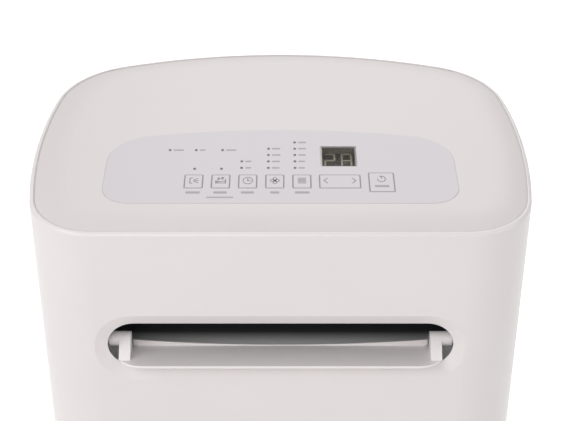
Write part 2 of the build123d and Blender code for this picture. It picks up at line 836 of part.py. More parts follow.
with BuildPart() as closed_flap:
    with BuildSketch(inward(flap_inner_y, outlet_z)):
        SlotOverall(2 * flap_half_width, 2 * flap_radius)
    extrude(amount=flap_thickness)
    fillet(faces().sort_by(Axis.Y)[0].edges(), radius=flap_thickness / 3)
    # stiffening rib along the lower edge, higher towards the arms
    with BuildSketch(Plane.XY.offset(outlet_z - flap_radius + flap_rib_thickness / 3)):
        with BuildLine():
            Line((-flap_arm_x, flap_inner_y), (flap_arm_x, flap_inner_y))
            Line((flap_arm_x, flap_inner_y), (flap_arm_x, flap_inner_y + flap_rib_high))
            ThreePointArc(
                (flap_arm_x, flap_inner_y + flap_rib_high),
                (0, flap_inner_y + flap_rib_low),
                (-flap_arm_x, flap_inner_y + flap_rib_high),
            )
            Line((-flap_arm_x, flap_inner_y + flap_rib_high), (-flap_arm_x, flap_inner_y))
        make_face()
    extrude(amount=flap_rib_thickness)
    # arms from the plate to the pivots
    for side in (-1, 1):
        with BuildSketch(Plane.YZ.offset(side * (flap_arm_x + flap_arm_width / 2))):
            with BuildLine():
                CenterArc((pivot_y, pivot_z), flap_hub_radius, 0, 360)
                Line((flap_inner_y, outlet_z - flap_arm_grip), (flap_inner_y, outlet_z + flap_arm_grip))
            make_hull()
        extrude(amount=flap_arm_width / 2, both=True)
        hub_start = (side * flap_arm_x, pivot_y, pivot_z)
        rod(hub_start, (side, 0, 0), flap_hub_radius, flap_hub_end_x - flap_arm_x)
    for side, pin_end in ((-1, -flap_pin_ends[0]), (1, flap_pin_ends[1])):
        pin_start = (side * flap_hub_end_x, pivot_y, pivot_z)
        rod(pin_start, (side, 0, 0), flap_pin_radius, pin_end - flap_hub_end_x)

with BuildPart() as outlet_flap:
    add(closed_flap.part.rotate(pivot_axis, flap_open_angle))
finish(outlet_flap, "outlet_flap")

with BuildPart() as swing_motor:
    rod(
        (motor_face_x, pivot_y + swing_motor_offset, pivot_z),
        (1, 0, 0),
        swing_motor_radius,
        swing_motor_length,
    )
    rod(
        (motor_face_x, pivot_y, pivot_z),
        (1, 0, 0),
        flap_pin_radius + pin_clearance,
        motor_socket_depth,
        Mode.SUBTRACT,
    )
finish(swing_motor, "swing_motor")


# ---- base tray and mid deck ----
tray_inset = wall + tray_fit
deck_inset = wall + deck_fit
foot_places = [
    (compressor_x + foot_circle * cos(radians(turn)), compressor_y + foot_circle * sin(radians(turn)))
    for turn in (90, 210, 330)
]
grommet_low_z = compressor_low_z - grommet_height
socket_depth = stem_length + socket_gap


def back_at(x):
    """Where the outer back surface stands at a distance from the middle."""
    return back_y - back_radius + sqrt(back_radius**2 - x**2)


def side_at(y):
    """How far the outer side surface stands from the middle, over the bowed side."""
    return side_centre[0] + sqrt(side_radius**2 - (y - side_centre_y) ** 2)


spout_end_y = back_at(spout_x) + spout_stand
spout_start_y = back_at(spout_x) - tray_inset - tray_wall - spout_inside


def drain_spout(z):
    rod((spout_x, spout_start_y, z), (0, 1, 0), spout_radius, spout_end_y - spout_start_y)


def drain_bore(z):
    rod((spout_x, spout_start_y, z), (0, 1, 0), spout_bore, spout_end_y - spout_start_y, Mode.SUBTRACT)


def screw_plane(angle, z):
    """Plane on the back surface, facing out along its normal."""
    normal = (sin(radians(angle)), cos(radians(angle)), 0)
    origin = (back_centre[0] + back_radius * normal[0], back_centre[1] + back_radius * normal[1], z)
    return Plane(origin=origin, x_dir=(0, 0, 1), z_dir=normal)


def screw_holes(z, clearance):
    for angle in screw_angles:
        with BuildSketch(screw_plane(angle, z), mode=Mode.PRIVATE) as screw_hole:
            Circle(screw_radius + clearance)
        extrude(screw_hole.sketch, amount=-screw_length, mode=Mode.SUBTRACT)


with BuildPart() as base_tray:
    cabinet_slab(0, tray_bottom_z, housing_bottom)
    fillet(edges().group_by(Axis.Z)[0], radius=rim_round)
    cabinet_slab(tray_inset, housing_bottom, housing_bottom + tray_upstand)
    cabinet_slab(tray_inset + tray_wall, tray_top_z, housing_bottom + tray_upstand, Mode.SUBTRACT)
    for place in castor_places:
        rod(
            (place[0], place[1], tray_bottom_z),
            (0, 0, 1),
            stem_radius + socket_wall,
            socket_depth + socket_wall,
        )
    for place in castor_places:
        rod(
            (place[0], place[1], tray_bottom_z),
            (0, 0, 1),
            stem_radius + stem_clearance,
            socket_depth,
            Mode.SUBTRACT,
        )
    for place in foot_places:
        rod((place[0], place[1], tray_top_z), (0, 0, 1), grommet_radius, grommet_low_z - tray_top_z)
        rod(
            (place[0], place[1], tray_top_z),
            (0, 0, 1),
            grommet_pin_radius,
            compressor_low_z - grommet_pin_drop - tray_top_z,
        )
    # rails under the condenser
    for rail_y in (condenser_front_y + condenser_rail_inset, condenser_back_y - condenser_rail_inset):
        block(
            (condenser_low_x, condenser_low_x + coil_thickness),
            (rail_y - rail_width / 2, rail_y + rail_width / 2),
            (tray_top_z, condenser_low_z),
        )
    drain_spout(lower_spout_z)
    drain_bore(lower_spout_z)
    screw_holes(lower_screw_z, screw_thread_gap)
finish(base_tray, "base_tray")

with BuildPart() as mid_deck:
    cabinet_slab(deck_inset, deck_z, deck_top_z + deck_upstand)
    cabinet_slab(deck_inset + tray_wall, deck_top_z, deck_top_z + deck_upstand, Mode.SUBTRACT)
    evaporator_back_y = evaporator_front_y + coil_thickness
    for rail_y in (evaporator_front_y + deck_rail_inset, evaporator_back_y - deck_rail_inset):
        block(
            (-evaporator_half_width, evaporator_half_width),
            (rail_y - rail_width / 2, rail_y + rail_width / 2),
            (deck_top_z, evaporator_low_z),
        )
    rod((liquid_x, liquid_y, deck_z), (0, 0, 1), pipe_radius + pipe_hole_gap, deck_floor, Mode.SUBTRACT)
    drain_spout(upper_spout_z)
    drain_bore(upper_spout_z)
    screw_holes(upper_screw_z, screw_thread_gap)
finish(mid_deck, "mid_deck")

for drain_name, drain_z in (("upper", upper_spout_z), ("lower", lower_spout_z)):
    with BuildPart() as drain_plug:
        plug_seat = (spout_x, spout_end_y, drain_z)
        rod(plug_seat, (0, -1, 0), spout_bore - plug_clearance, plug_length - spout_stand)
        rod(plug_seat, (0, 1, 0), plug_head_radius, plug_head_length)
        fillet(faces().sort_by(Axis.Y)[-1].edges(), radius=plug_edge_round)
    finish(drain_plug, drain_name + "_drain_plug")


# ---- castors ----
arm_low_x = wheel_width / 2 + fork_gap
arm_high_x = arm_low_x + fork_wall
fork_top_z = tray_bottom_z - fork_top_gap
fork_web_z = fork_top_z - fork_crown / 5

for number, place in enumerate(castor_places, start=1):
    axle_y = place[1] + castor_trail
    with BuildPart() as castor_fork:
        with BuildSketch(Plane.XY.offset(fork_top_z - fork_crown)):
            with Locations(place):
                Circle(arm_high_x)
            with Locations((place[0], place[1] + castor_trail / 2)):
                Rectangle(2 * arm_high_x, castor_trail)
        extrude(amount=fork_crown)
        for side in (-1, 1):
            with BuildSketch(Plane.YZ.offset(place[0] + side * (arm_low_x + fork_wall / 2))):
                with BuildLine():
                    CenterArc((axle_y, wheel_radius), fork_arm_radius, 0, 360)
                    Line((place[1] - fork_arm_radius, fork_web_z), (axle_y, fork_web_z))
                make_hull()
            extrude(amount=fork_wall / 2, both=True)
        rod((place[0] - arm_low_x, axle_y, wheel_radius), (1, 0, 0), axle_radius, 2 * arm_low_x)
        rod((place[0], place[1], fork_top_z), (0, 0, 1), stem_radius, stem_length + fork_top_gap)
    finish(castor_fork, f"castor_fork_{number}")

    with BuildPart() as castor_wheel:
        rod((place[0] - wheel_width / 2, axle_y, wheel_radius), (1, 0, 0), wheel_radius, wheel_width)
        fillet(edges().filter_by(GeomType.CIRCLE), radius=wheel_edge_round)
        for side in (-1, 1):
            with BuildSketch(Plane.YZ.offset(place[0] + side * (wheel_width / 2 - wheel_dish))):
                with Locations((axle_y, wheel_radius)):
                    Circle(wheel_radius - wheel_rim)
                    Circle(axle_radius + wheel_hub, mode=Mode.SUBTRACT)
            extrude(amount=side * wheel_dish, mode=Mode.SUBTRACT)
        rod(
            (place[0] - wheel_width / 2, axle_y, wheel_radius),
            (1, 0, 0),
            axle_radius + axle_clearance,
            wheel_width,
            Mode.SUBTRACT,
        )
    finish(castor_wheel, f"castor_wheel_{number}")


# ---- blowers ----
def disc(plane, outer, inner, thickness):
    """Flat ring on a plane."""
    with BuildSketch(plane, mode=Mode.PRIVATE) as ring:
        Circle(outer)
        if inner > 0:
            Circle(inner, mode=Mode.SUBTRACT)
    extrude(ring.sketch, amount=thickness)


def blower_wheel(plane, radius, width):
    """Centrifugal wheel: back plate, hub, curved-forward blades and a shroud ring."""
    disc(plane, radius, shaft_radius, wheel_plate)
    disc(plane, 3 * shaft_radius, shaft_radius, width / 2)
    with BuildSketch(plane, mode=Mode.PRIVATE) as blades:
        with PolarLocations(radius - blade_length / 2, blade_count):
            Rectangle(blade_length, blade_thickness, rotation=blade_turn)
    extrude(blades.sketch, amount=width)
    disc(plane.offset(width - wheel_plate), radius, radius - blade_length, wheel_plate)


def fan_motor(plane, radius, length):
    """Motor can that stands back from a plane, with a bore for its shaft."""
    with BuildSketch(plane, mode=Mode.PRIVATE) as can:
        Circle(radius)
        Circle(shaft_radius + axle_clearance, mode=Mode.SUBTRACT)
    extrude(can.sketch, amount=-length)


evaporator_case_centre = (evaporator_case_x, evaporator_blower_z)
evaporator_outlet_z = duct_floor_z - duct_wall
evaporator_depth = evaporator_case_back_y - evaporator_case_front_y
evaporator_wheel_plane = Plane(
    origin=(0, evaporator_case_front_y, evaporator_blower_z - evaporator_wheel_drop),
    x_dir=(1, 0, 0),
    z_dir=(0, 1, 0),
)

with BuildPart() as evaporator_blower_case:
    for shrink in (0, case_wall):
        radius = evaporator_case_radius - shrink
        mode = Mode.SUBTRACT if shrink else Mode.ADD
        with BuildSketch(Plane.XZ.offset(-evaporator_case_back_y + shrink)):
            with Locations(evaporator_case_centre):
                Circle(radius)
            neck_z = (evaporator_blower_z + evaporator_outlet_z) / 2
            with Locations((evaporator_case_x + radius / 2, neck_z)):
                Rectangle(radius, evaporator_outlet_z - evaporator_blower_z)
        extrude(amount=evaporator_depth - 2 * shrink, mode=mode)
        if not shrink:
            # feet on the mid deck
            for side in (-1, 1):
                foot_x = evaporator_case_x + side * evaporator_foot_spread / 2
                block(
                    (foot_x - foot_width / 2, foot_x + foot_width / 2),
                    (evaporator_case_front_y + foot_set_in, evaporator_case_back_y - foot_set_in),
                    (deck_top_z, evaporator_blower_z - evaporator_case_radius + foot_overlap),
                )
    # eye towards the coil and hole for the shaft
    with BuildSketch(evaporator_wheel_plane):
        Circle(shaft_radius + eye_bearing_gap)
    extrude(amount=case_wall, mode=Mode.SUBTRACT)
    with BuildSketch(evaporator_wheel_plane.offset(evaporator_depth - case_wall)):
        Circle(evaporator_wheel_radius * eye_ratio)
    extrude(amount=case_wall, mode=Mode.SUBTRACT)
finish(evaporator_blower_case, "evaporator_blower_case")

with BuildPart() as evaporator_blower_wheel:
    blower_wheel(
        evaporator_wheel_plane.offset(case_wall + wheel_side_gap),
        evaporator_wheel_radius,
        evaporator_depth - 2 * case_wall - 2 * wheel_side_gap,
    )
finish(evaporator_blower_wheel, "evaporator_blower_wheel")

with BuildPart() as evaporator_fan_motor:
    fan_motor(evaporator_wheel_plane, evaporator_motor_radius, evaporator_motor_length)
finish(evaporator_fan_motor, "evaporator_fan_motor")

with BuildPart() as evaporator_fan_shaft:
    shaft_back = shaft_share * evaporator_motor_length
    disc(evaporator_wheel_plane.offset(-shaft_back), shaft_radius, 0, shaft_back + evaporator_depth / 2)
finish(evaporator_fan_shaft, "evaporator_fan_shaft")

condenser_depth = condenser_case_high_x - condenser_case_low_x
condenser_wheel_plane = Plane(
    origin=(condenser_case_low_x, 0, condenser_blower_z - condenser_wheel_drop),
    x_dir=(0, 1, 0),
    z_dir=(1, 0, 0),
)

with BuildPart() as condenser_blower_case:
    for shrink in (0, case_wall):
        radius = condenser_case_radius - shrink
        mode = Mode.SUBTRACT if shrink else Mode.ADD
        with BuildSketch(Plane.YZ.offset(condenser_case_low_x + shrink)):
            with Locations((0, condenser_blower_z)):
                Circle(radius)
            with Locations((collar_box_front_y / 2, condenser_blower_z + radius / 2)):
                Rectangle(collar_box_front_y, radius)
        extrude(amount=condenser_depth - 2 * shrink, mode=mode)
        if not shrink:
            for side in (-1, 1):
                foot_y = side * condenser_foot_spread / 2
                block(
                    (condenser_case_low_x + foot_set_in, condenser_case_high_x - foot_set_in),
                    (foot_y - foot_width / 2, foot_y + foot_width / 2),
                    (tray_top_z, condenser_blower_z - condenser_case_radius + foot_overlap),
                )
    with BuildSketch(condenser_wheel_plane):
        Circle(shaft_radius + eye_bearing_gap)
    extrude(amount=case_wall, mode=Mode.SUBTRACT)
    with BuildSketch(condenser_wheel_plane.offset(condenser_depth - case_wall)):
        Circle(condenser_wheel_radius * eye_ratio)
    extrude(amount=case_wall, mode=Mode.SUBTRACT)
finish(condenser_blower_case, "condenser_blower_case")

with BuildPart() as condenser_blower_wheel:
    blower_wheel(
        condenser_wheel_plane.offset(case_wall + wheel_side_gap),
        condenser_wheel_radius,
        condenser_depth - 2 * case_wall - 2 * wheel_side_gap,
    )
finish(condenser_blower_wheel, "condenser_blower_wheel")

with BuildPart() as condenser_fan_motor:
    fan_motor(condenser_wheel_plane, condenser_motor_radius, condenser_motor_length)
finish(condenser_fan_motor, "condenser_fan_motor")

with BuildPart() as condenser_fan_shaft:
    shaft_back = shaft_share * condenser_motor_length
    disc(condenser_wheel_plane.offset(-shaft_back), shaft_radius, 0, shaft_back + condenser_depth / 2)
finish(condenser_fan_shaft, "condenser_fan_shaft")


# ---- exhaust ----
with BuildPart() as exhaust_collar:
    collar_half = collar_box_size / 2
    collar_back_y = collar_box_front_y + collar_box_depth
    outlet_half_x = condenser_depth / 2 - case_wall
    block(
        (collar_x - collar_half, collar_x + collar_half),
        (collar_box_front_y, collar_back_y),
        (collar_z - collar_half, collar_z + collar_half),
    )
    block(
        (collar_x - collar_half + collar_wall, collar_x + collar_half - collar_wall),
        (collar_box_front_y + collar_wall, collar_back_y - collar_wall),
        (collar_z - collar_half + collar_wall, collar_z + collar_half - collar_wall),
        Mode.SUBTRACT,
    )
    block(
        (collar_x - outlet_half_x, collar_x + outlet_half_x),
        (collar_box_front_y, collar_box_front_y + collar_wall),
        (condenser_blower_z, condenser_blower_z + condenser_case_radius - case_wall),
        Mode.SUBTRACT,
    )
    rod(
        (collar_x, collar_back_y - collar_wall, collar_z),
        (0, 1, 0),
        collar_bore_radius + collar_wall,
        collar_end_y - collar_back_y + collar_wall,
    )
    rod(
        (collar_x, collar_back_y - collar_wall, collar_z),
        (0, 1, 0),
        collar_bore_radius,
        collar_end_y - collar_back_y + collar_wall,
        Mode.SUBTRACT,
    )
finish(exhaust_collar, "exhaust_collar")


# ---- coils ----
def return_bends(starts, normal, turn_axis):
    """Half-turn tubes that leave a coil's end face and come back lower down."""
    for start in starts:
        with BuildSketch(Plane(origin=start, z_dir=normal), mode=Mode.PRIVATE) as tube_end:
            Circle(tube_radius)
        axis = Axis((start[0], start[1], start[2] - bend_radius), turn_axis)
        revolve(tube_end.sketch, axis=axis, revolution_arc=180)


def bend_heights(low, high):
    pitch = (high - low) / bend_rows
    return [low + pitch * (row + 0.5) + bend_radius for row in range(bend_rows)]


coil_columns = (coil_thickness / 4, 3 * coil_thickness / 4)

with BuildPart() as evaporator_fins:
    block(
        (-evaporator_half_width, evaporator_half_width),
        (evaporator_front_y, evaporator_front_y + coil_thickness),
        (evaporator_low_z, evaporator_high_z),
    )
finish(evaporator_fins, "evaporator_fins")

with BuildPart() as evaporator_tubes:
    evaporator_bends = bend_heights(evaporator_low_z, evaporator_high_z)
    for column in coil_columns:
        for side in (-1, 1):
            end_x = side * evaporator_half_width
            starts = [(end_x, evaporator_front_y + column, z) for z in evaporator_bends]
            return_bends(starts, (side, 0, 0), (0, side, 0))
finish(evaporator_tubes, "evaporator_tubes")

with BuildPart() as condenser_fins:
    block(
        (condenser_low_x, condenser_low_x + coil_thickness),
        (condenser_front_y, condenser_back_y),
        (condenser_low_z, condenser_high_z),
    )
finish(condenser_fins, "condenser_fins")

with BuildPart() as condenser_tubes:
    condenser_bends = bend_heights(condenser_low_z, condenser_high_z)
    for column in coil_columns:
        for side, end_y in ((-1, condenser_front_y), (1, condenser_back_y)):
            starts = [(condenser_low_x + column, end_y, z) for z in condenser_bends]
            return_bends(starts, (0, side, 0), (-side, 0, 0))
finish(condenser_tubes, "condenser_tubes")


# ---- compressor, valve and pipes ----
def bottle(x, y, radius, low, high, shoulder, mode=Mode.ADD):
    """Upright round vessel with rounded shoulders."""
    with BuildSketch(Plane(origin=(x, y, 0), x_dir=(1, 0, 0), z_dir=(0, -1, 0)), mode=Mode.PRIVATE) as half:
        with Locations((radius / 2, (low + high) / 2)):
            Rectangle(radius, high - low)
        fillet(half.vertices().group_by(Axis.X)[-1], radius=shoulder)
    revolve(half.sketch, axis=Axis((x, y, 0), (0, 0, 1)), mode=mode)


with BuildPart() as compressor:
    with BuildSketch(Plane.XY.offset(compressor_low_z)):
        for place in foot_places:
            with Locations(((place[0] + compressor_x) / 2, (place[1] + compressor_y) / 2)):
                Rectangle(
                    foot_circle,
                    2 * grommet_radius,
                    rotation=degrees(atan2(place[1] - compressor_y, place[0] - compressor_x)),
                )
            with Locations(place):
                Circle(grommet_radius)
    extrude(amount=foot_thickness)
    bottle(
        compressor_x,
        compressor_y,
        compressor_radius,
        compressor_low_z,
        compressor_high_z,
        shoulder_radius,
    )
    bottle(
        compressor_x,
        compressor_y,
        compressor_radius - compressor_shell,
        compressor_low_z + compressor_shell,
        compressor_high_z - compressor_shell,
        shoulder_radius - compressor_shell,
        Mode.SUBTRACT,
    )
    bottle(
        compressor_x,
        accumulator_y,
        accumulator_radius,
        accumulator_low_z,
        accumulator_high_z,
        accumulator_shoulder,
    )
    # strap between the two vessels
    block(
        (compressor_x - strap_width / 2, compressor_x + strap_width / 2),
        (accumulator_y + accumulator_radius - strap_sink, compressor_y - compressor_radius + strap_sink),
        (accumulator_low_z + strap_low, accumulator_low_z + strap_low + strap_height),
    )
    for stub_y, stub_z in ((compressor_y, compressor_high_z), (accumulator_y, accumulator_high_z)):
        rod((compressor_x, stub_y, stub_z - stub_sink), (0, 0, 1), pipe_radius, stub_length + stub_sink)
finish(compressor, "compressor")

with BuildPart() as compressor_grommets:
    for place in foot_places:
        rod((place[0], place[1], grommet_low_z), (0, 0, 1), grommet_radius, grommet_height)
        rod(
            (place[0], place[1], grommet_low_z),
            (0, 0, 1),
            grommet_pin_radius + grommet_pin_gap,
            grommet_height,
            Mode.SUBTRACT,
        )
finish(compressor_grommets, "compressor_grommets")

valve_low_x = valve_x - valve_length / 2

with BuildPart() as reversing_valve:
    rod((valve_low_x, accumulator_y, pipe_top_z), (1, 0, 0), valve_radius, valve_length)
    fillet(edges().filter_by(GeomType.CIRCLE), radius=valve_edge_round)
finish(reversing_valve, "reversing_valve")


def pipe(points):
    """Round pipe along straight runs joined by arcs."""
    with BuildLine(mode=Mode.PRIVATE) as route:
        FilletPolyline(*points, radius=pipe_bend)
    with BuildSketch(Plane(origin=route.line @ 0, z_dir=route.line % 0), mode=Mode.PRIVATE) as pipe_end:
        Circle(pipe_radius)
    sweep(pipe_end.sketch, path=route.line)


with BuildPart() as discharge_pipe:
    pipe(
        [
            (compressor_x, compressor_y, compressor_high_z + stub_length + pipe_end_gap),
            (compressor_x, compressor_y, pipe_top_z),
            (valve_x, compressor_y, pipe_top_z),
            (valve_x, accumulator_y + valve_radius + pipe_end_gap, pipe_top_z),
        ]
    )
finish(discharge_pipe, "discharge_pipe")

with BuildPart() as suction_pipe:
    pipe(
        [
            (compressor_x, accumulator_y, accumulator_high_z + stub_length + pipe_end_gap),
            (compressor_x, accumulator_y, pipe_top_z),
            (valve_low_x - pipe_end_gap, accumulator_y, pipe_top_z),
        ]
    )
finish(suction_pipe, "suction_pipe")

with BuildPart() as liquid_line:
    pipe(
        [
            (liquid_x, liquid_y, condenser_high_z + pipe_end_gap),
            (liquid_x, liquid_y, evaporator_low_z + liquid_rise),
            (liquid_x, evaporator_front_y - pipe_end_gap, evaporator_low_z + liquid_rise),
        ]
    )
finish(liquid_line, "liquid_line")


# ---- slinger and float ----
with BuildPart() as slinger_wheel:
    rod((slinger_x, slinger_y, slinger_z), (1, 0, 0), slinger_radius, slinger_width)
    with BuildSketch(Plane.YZ.offset(slinger_x)):
        with Locations((slinger_y, slinger_z)):
            with PolarLocations(slinger_radius - slinger_scoop_depth / 2, slinger_scoops):
                Rectangle(slinger_scoop_depth, slinger_scoop_width)
    extrude(amount=slinger_width, mode=Mode.SUBTRACT)
    rod((slinger_x, slinger_y, slinger_z), (1, 0, 0), slinger_shaft_radius, slinger_shaft_length)
finish(slinger_wheel, "slinger_wheel")

with BuildPart() as slinger_motor:
    rod((slinger_motor_x, slinger_y, slinger_z), (1, 0, 0), slinger_motor_radius, slinger_motor_length)
    block(
        (slinger_motor_x, slinger_motor_x + slinger_motor_length),
        (slinger_y - slinger_bracket_width / 2, slinger_y + slinger_bracket_width / 2),
        (tray_top_z, slinger_z),
    )
    rod(
        (slinger_motor_x, slinger_y, slinger_z),
        (1, 0, 0),
        slinger_shaft_radius + axle_clearance,
        slinger_socket_depth,
        Mode.SUBTRACT,
    )
finish(slinger_motor, "slinger_motor")

float_stop_z = float_rest_z + float_height + float_travel + float_stop_gap

with BuildPart() as float_switch:
    rod((float_x, float_y, tray_top_z), (0, 0, 1), float_stop_radius, float_rest_z - tray_top_z)
    rod((float_x, float_y, tray_top_z), (0, 0, 1), float_stem_radius, float_stop_z - tray_top_z)
    rod((float_x, float_y, float_stop_z), (0, 0, 1), float_stop_radius, float_stop_height)
finish(float_switch, "float_switch")

with BuildPart() as float_ring:
    rod((float_x, float_y, float_rest_z), (0, 0, 1), float_radius, float_height)
    rod(
        (float_x, float_y, float_rest_z),
        (0, 0, 1),
        float_stem_radius + pipe_end_gap,
        float_height,
        Mode.SUBTRACT,
    )
finish(float_ring, "float_ring")


# ---- electrical parts ----
with BuildPart() as electrical_box:
    block((box_low_x, box_high_x), (box_front_y, box_back_y), (deck_top_z, box_high_z))
    block(
        (box_low_x + box_wall, box_high_x),
        (box_front_y + box_wall, box_back_y - box_wall),
        (deck_top_z + box_wall, box_high_z - box_wall),
        Mode.SUBTRACT,
    )
    for stand_y in (box_front_y + stand_inset_y, box_back_y - stand_inset_y):
        for stand_z in (deck_top_z + stand_inset_z, box_high_z - stand_inset_z):
            rod((box_low_x, stand_y, stand_z), (1, 0, 0), stand_radius, box_wall + board_stand_off)
finish(electrical_box, "electrical_box")

with BuildPart() as main_board:
    board_x = box_low_x + box_wall + board_stand_off
    block(
        (board_x, board_x + board_thickness),
        (box_front_y + board_margin_y, box_back_y - board_margin_y),
        (deck_top_z + board_margin_z, box_high_z - board_margin_z),
    )
    box_middle_y = (box_front_y + box_back_y) / 2
    for height, size, thickness in (transformer, first_relay, second_relay, connector_block):
        block(
            (board_x, board_x + board_thickness + thickness),
            (box_middle_y - size / 2, box_middle_y + size / 2),
            (deck_top_z + height - 0.4 * size, deck_top_z + height + 0.4 * size),
        )
finish(main_board, "main_board")

with BuildPart() as run_capacitor:
    rod((capacitor_x, capacitor_y, deck_top_z), (0, 0, 1), capacitor_radius, capacitor_height)
    fillet(edges().group_by(Axis.Z)[-1], radius=capacitor_edge_round)
finish(run_capacitor, "run_capacitor")


# ---- air filter ----
filter_front_y = filter_y - filter_thickness / 2
filter_back_y = filter_y + filter_thickness / 2
filter_end_x = body_width / 2
filter_middle_z = (filter_low_z + filter_high_z) / 2
filter_face_x = rear_corner[0] + sqrt(rear_corner_radius**2 - (filter_y - rear_corner[1]) ** 2)

with BuildPart() as air_filter:
    block(
        (-filter_half_width, filter_end_x),
        (filter_front_y, filter_back_y),
        (filter_low_z, filter_high_z),
    )
    # thin mesh panels between the ribs
    panel_pitch = 2 * filter_half_width / filter_columns
    panel_height = (filter_high_z - filter_low_z) / filter_rows
    half_panel_x = (panel_pitch - filter_frame) / 2
    half_panel_z = (panel_height - filter_frame) / 2
    for column in range(filter_columns):
        for row in range(filter_rows):
            middle_x = -filter_half_width + panel_pitch * (column + 0.5)
            middle_z = filter_low_z + panel_height * (row + 0.5)
            for face_span in (
                (filter_front_y, filter_y - filter_mesh / 2),
                (filter_y + filter_mesh / 2, filter_back_y),
            ):
                block(
                    (middle_x - half_panel_x, middle_x + half_panel_x),
                    face_span,
                    (middle_z - half_panel_z, middle_z + half_panel_z),
                    Mode.SUBTRACT,
                )
    # the outer end follows the side of the cabinet
    cabinet_slab(0, filter_low_z, filter_high_z, Mode.INTERSECT)
    # pull tab
    block(
        (filter_face_x - filter_frame, filter_face_x + filter_tab_reach),
        (filter_front_y, filter_back_y),
        (filter_middle_z - filter_tab_height / 2, filter_middle_z + filter_tab_height / 2),
    )
finish(air_filter, "air_filter")


# ---- rear housing ----
def filter_shelf(low, high, lip_low, lip_high):
    """Shelf from the back wall to the filter, with two lips that guide it."""
    with BuildSketch(Plane.XY.offset(low), mode=Mode.PRIVATE) as shelf:
        add(body_plan.sketch)
        offset(amount=-wall / 2)
        with Locations((0, filter_front_y - shelf_gap - groove_lip - body_depth / 2)):
            Rectangle(2 * body_width, body_depth, mode=Mode.SUBTRACT)
    extrude(shelf.sketch, amount=high - low)
    for lip_y in (filter_front_y - shelf_gap - groove_lip, filter_back_y + shelf_gap):
        block((-filter_half_width, filter_half_width), (lip_y, lip_y + groove_lip), (lip_low, lip_high))


with BuildPart() as rear_housing:
    housing_walls()
    split(bisect_by=Plane.XZ.offset(-split_y - seam_gap), keep=Keep.BOTTOM)
    low_shelf_top = filter_low_z - shelf_gap
    low_shelf_z = low_shelf_top - shelf_thickness
    filter_shelf(low_shelf_z, low_shelf_top, low_shelf_z, low_shelf_top + groove_depth)
    high_shelf_z = filter_high_z + shelf_gap
    high_shelf_top = high_shelf_z + shelf_thickness
    filter_shelf(high_shelf_z, high_shelf_top, high_shelf_z - groove_depth, high_shelf_top)
    # intake louvres in front of the filter
    with Locations(inward(back_y, filter_middle_z)):
        with GridLocations(upper_louvre_pitch, louvre_pitch, upper_louvre_columns, upper_louvre_rows):
            Box(
                upper_louvre_width,
                louvre_height,
                2 * (back_y - filter_back_y - upper_louvre_clearance),
                mode=Mode.SUBTRACT,
            )
    # louvres of the lower half, at the back and on the condenser's side
    lower_louvre_z = (tray_bottom_z + deck_z) / 2 + lower_louvre_rise
    with Locations(Plane(origin=(lower_louvre_x, back_y, lower_louvre_z), x_dir=(1, 0, 0), z_dir=(0, -1, 0))):
        with GridLocations(1, louvre_pitch, 1, lower_louvre_rows):
            Box(lower_louvre_width, louvre_height, body_depth / 3, mode=Mode.SUBTRACT)
    for row in range(side_louvre_rows):
        slot_z = lower_louvre_z + louvre_pitch * (row - (side_louvre_rows - 1) / 2)
        block(
            (body_width / 2 - side_louvre_reach, body_width / 2),
            (side_louvre_low_y, side_louvre_high_y),
            (slot_z - louvre_height / 2, slot_z + louvre_height / 2),
            Mode.SUBTRACT,
        )
    # mouth of the filter's slot
    block(
        (filter_half_width, filter_end_x),
        (filter_front_y - filter_slot_gap, filter_back_y + filter_slot_gap),
        (filter_low_z - shelf_gap, filter_high_z + shelf_gap),
        Mode.SUBTRACT,
    )
    # exhaust, drains, gland, handles and screws
    rod(
        (collar_x, collar_back_y, collar_z),
        (0, 1, 0),
        collar_bore_radius + collar_wall + collar_hole_gap,
        body_depth / 4,
        Mode.SUBTRACT,
    )
    rod(
        (spout_x, spout_start_y, upper_spout_z),
        (0, 1, 0),
        spout_radius + hole_gap,
        body_depth / 4,
        Mode.SUBTRACT,
    )
    gland_end_y = back_at(gland_x) + gland_stand
    rod((gland_x, gland_end_y, gland_z), (0, -1, 0), gland_radius + hole_gap, gland_length, Mode.SUBTRACT)
    for side in (-1, 1):
        block(
            tuple(sorted((side * (side_at(handle_high_y) - handle_depth), side * body_width / 2))),
            (handle_low_y, handle_high_y),
            (handle_low_z, handle_high_z),
            Mode.SUBTRACT,
        )
    screw_holes(lower_screw_z, screw_pass_gap)
    screw_holes(upper_screw_z, screw_pass_gap)
finish(rear_housing, "rear_housing")

with BuildPart() as cord_gland:
    rod((gland_x, gland_end_y, gland_z), (0, -1, 0), gland_radius, gland_length)
    rod(
        (gland_x, gland_end_y - gland_length, gland_z),
        (0, 1, 0),
        gland_radius + gland_collar_width,
        gland_collar_thickness,
    )
    rod((gland_x, gland_end_y, gland_z), (0, -1, 0), gland_bore, gland_length, Mode.SUBTRACT)
finish(cord_gland, "cord_gland")

with BuildPart() as side_handles:
    handle_back_x = side_at(handle_high_y) - handle_depth
    for side in (-1, 1):
        block(
            tuple(sorted((side * handle_back_x, side * body_width / 2))),
            (handle_low_y + handle_fit, handle_high_y - handle_fit),
            (handle_low_z + handle_fit, handle_high_z - handle_fit),
        )
    for side in (-1, 1):
        block(
            tuple(sorted((side * (handle_back_x + handle_wall), side * body_width / 2))),
            (handle_low_y + handle_fit + handle_wall, handle_high_y - handle_fit - handle_wall),
            (handle_low_z + handle_fit + handle_wall, handle_high_z - handle_fit - handle_wall),
            Mode.SUBTRACT,
        )
    cabinet_slab(0, handle_low_z, handle_high_z, Mode.INTERSECT)
finish(side_handles, "side_handles")

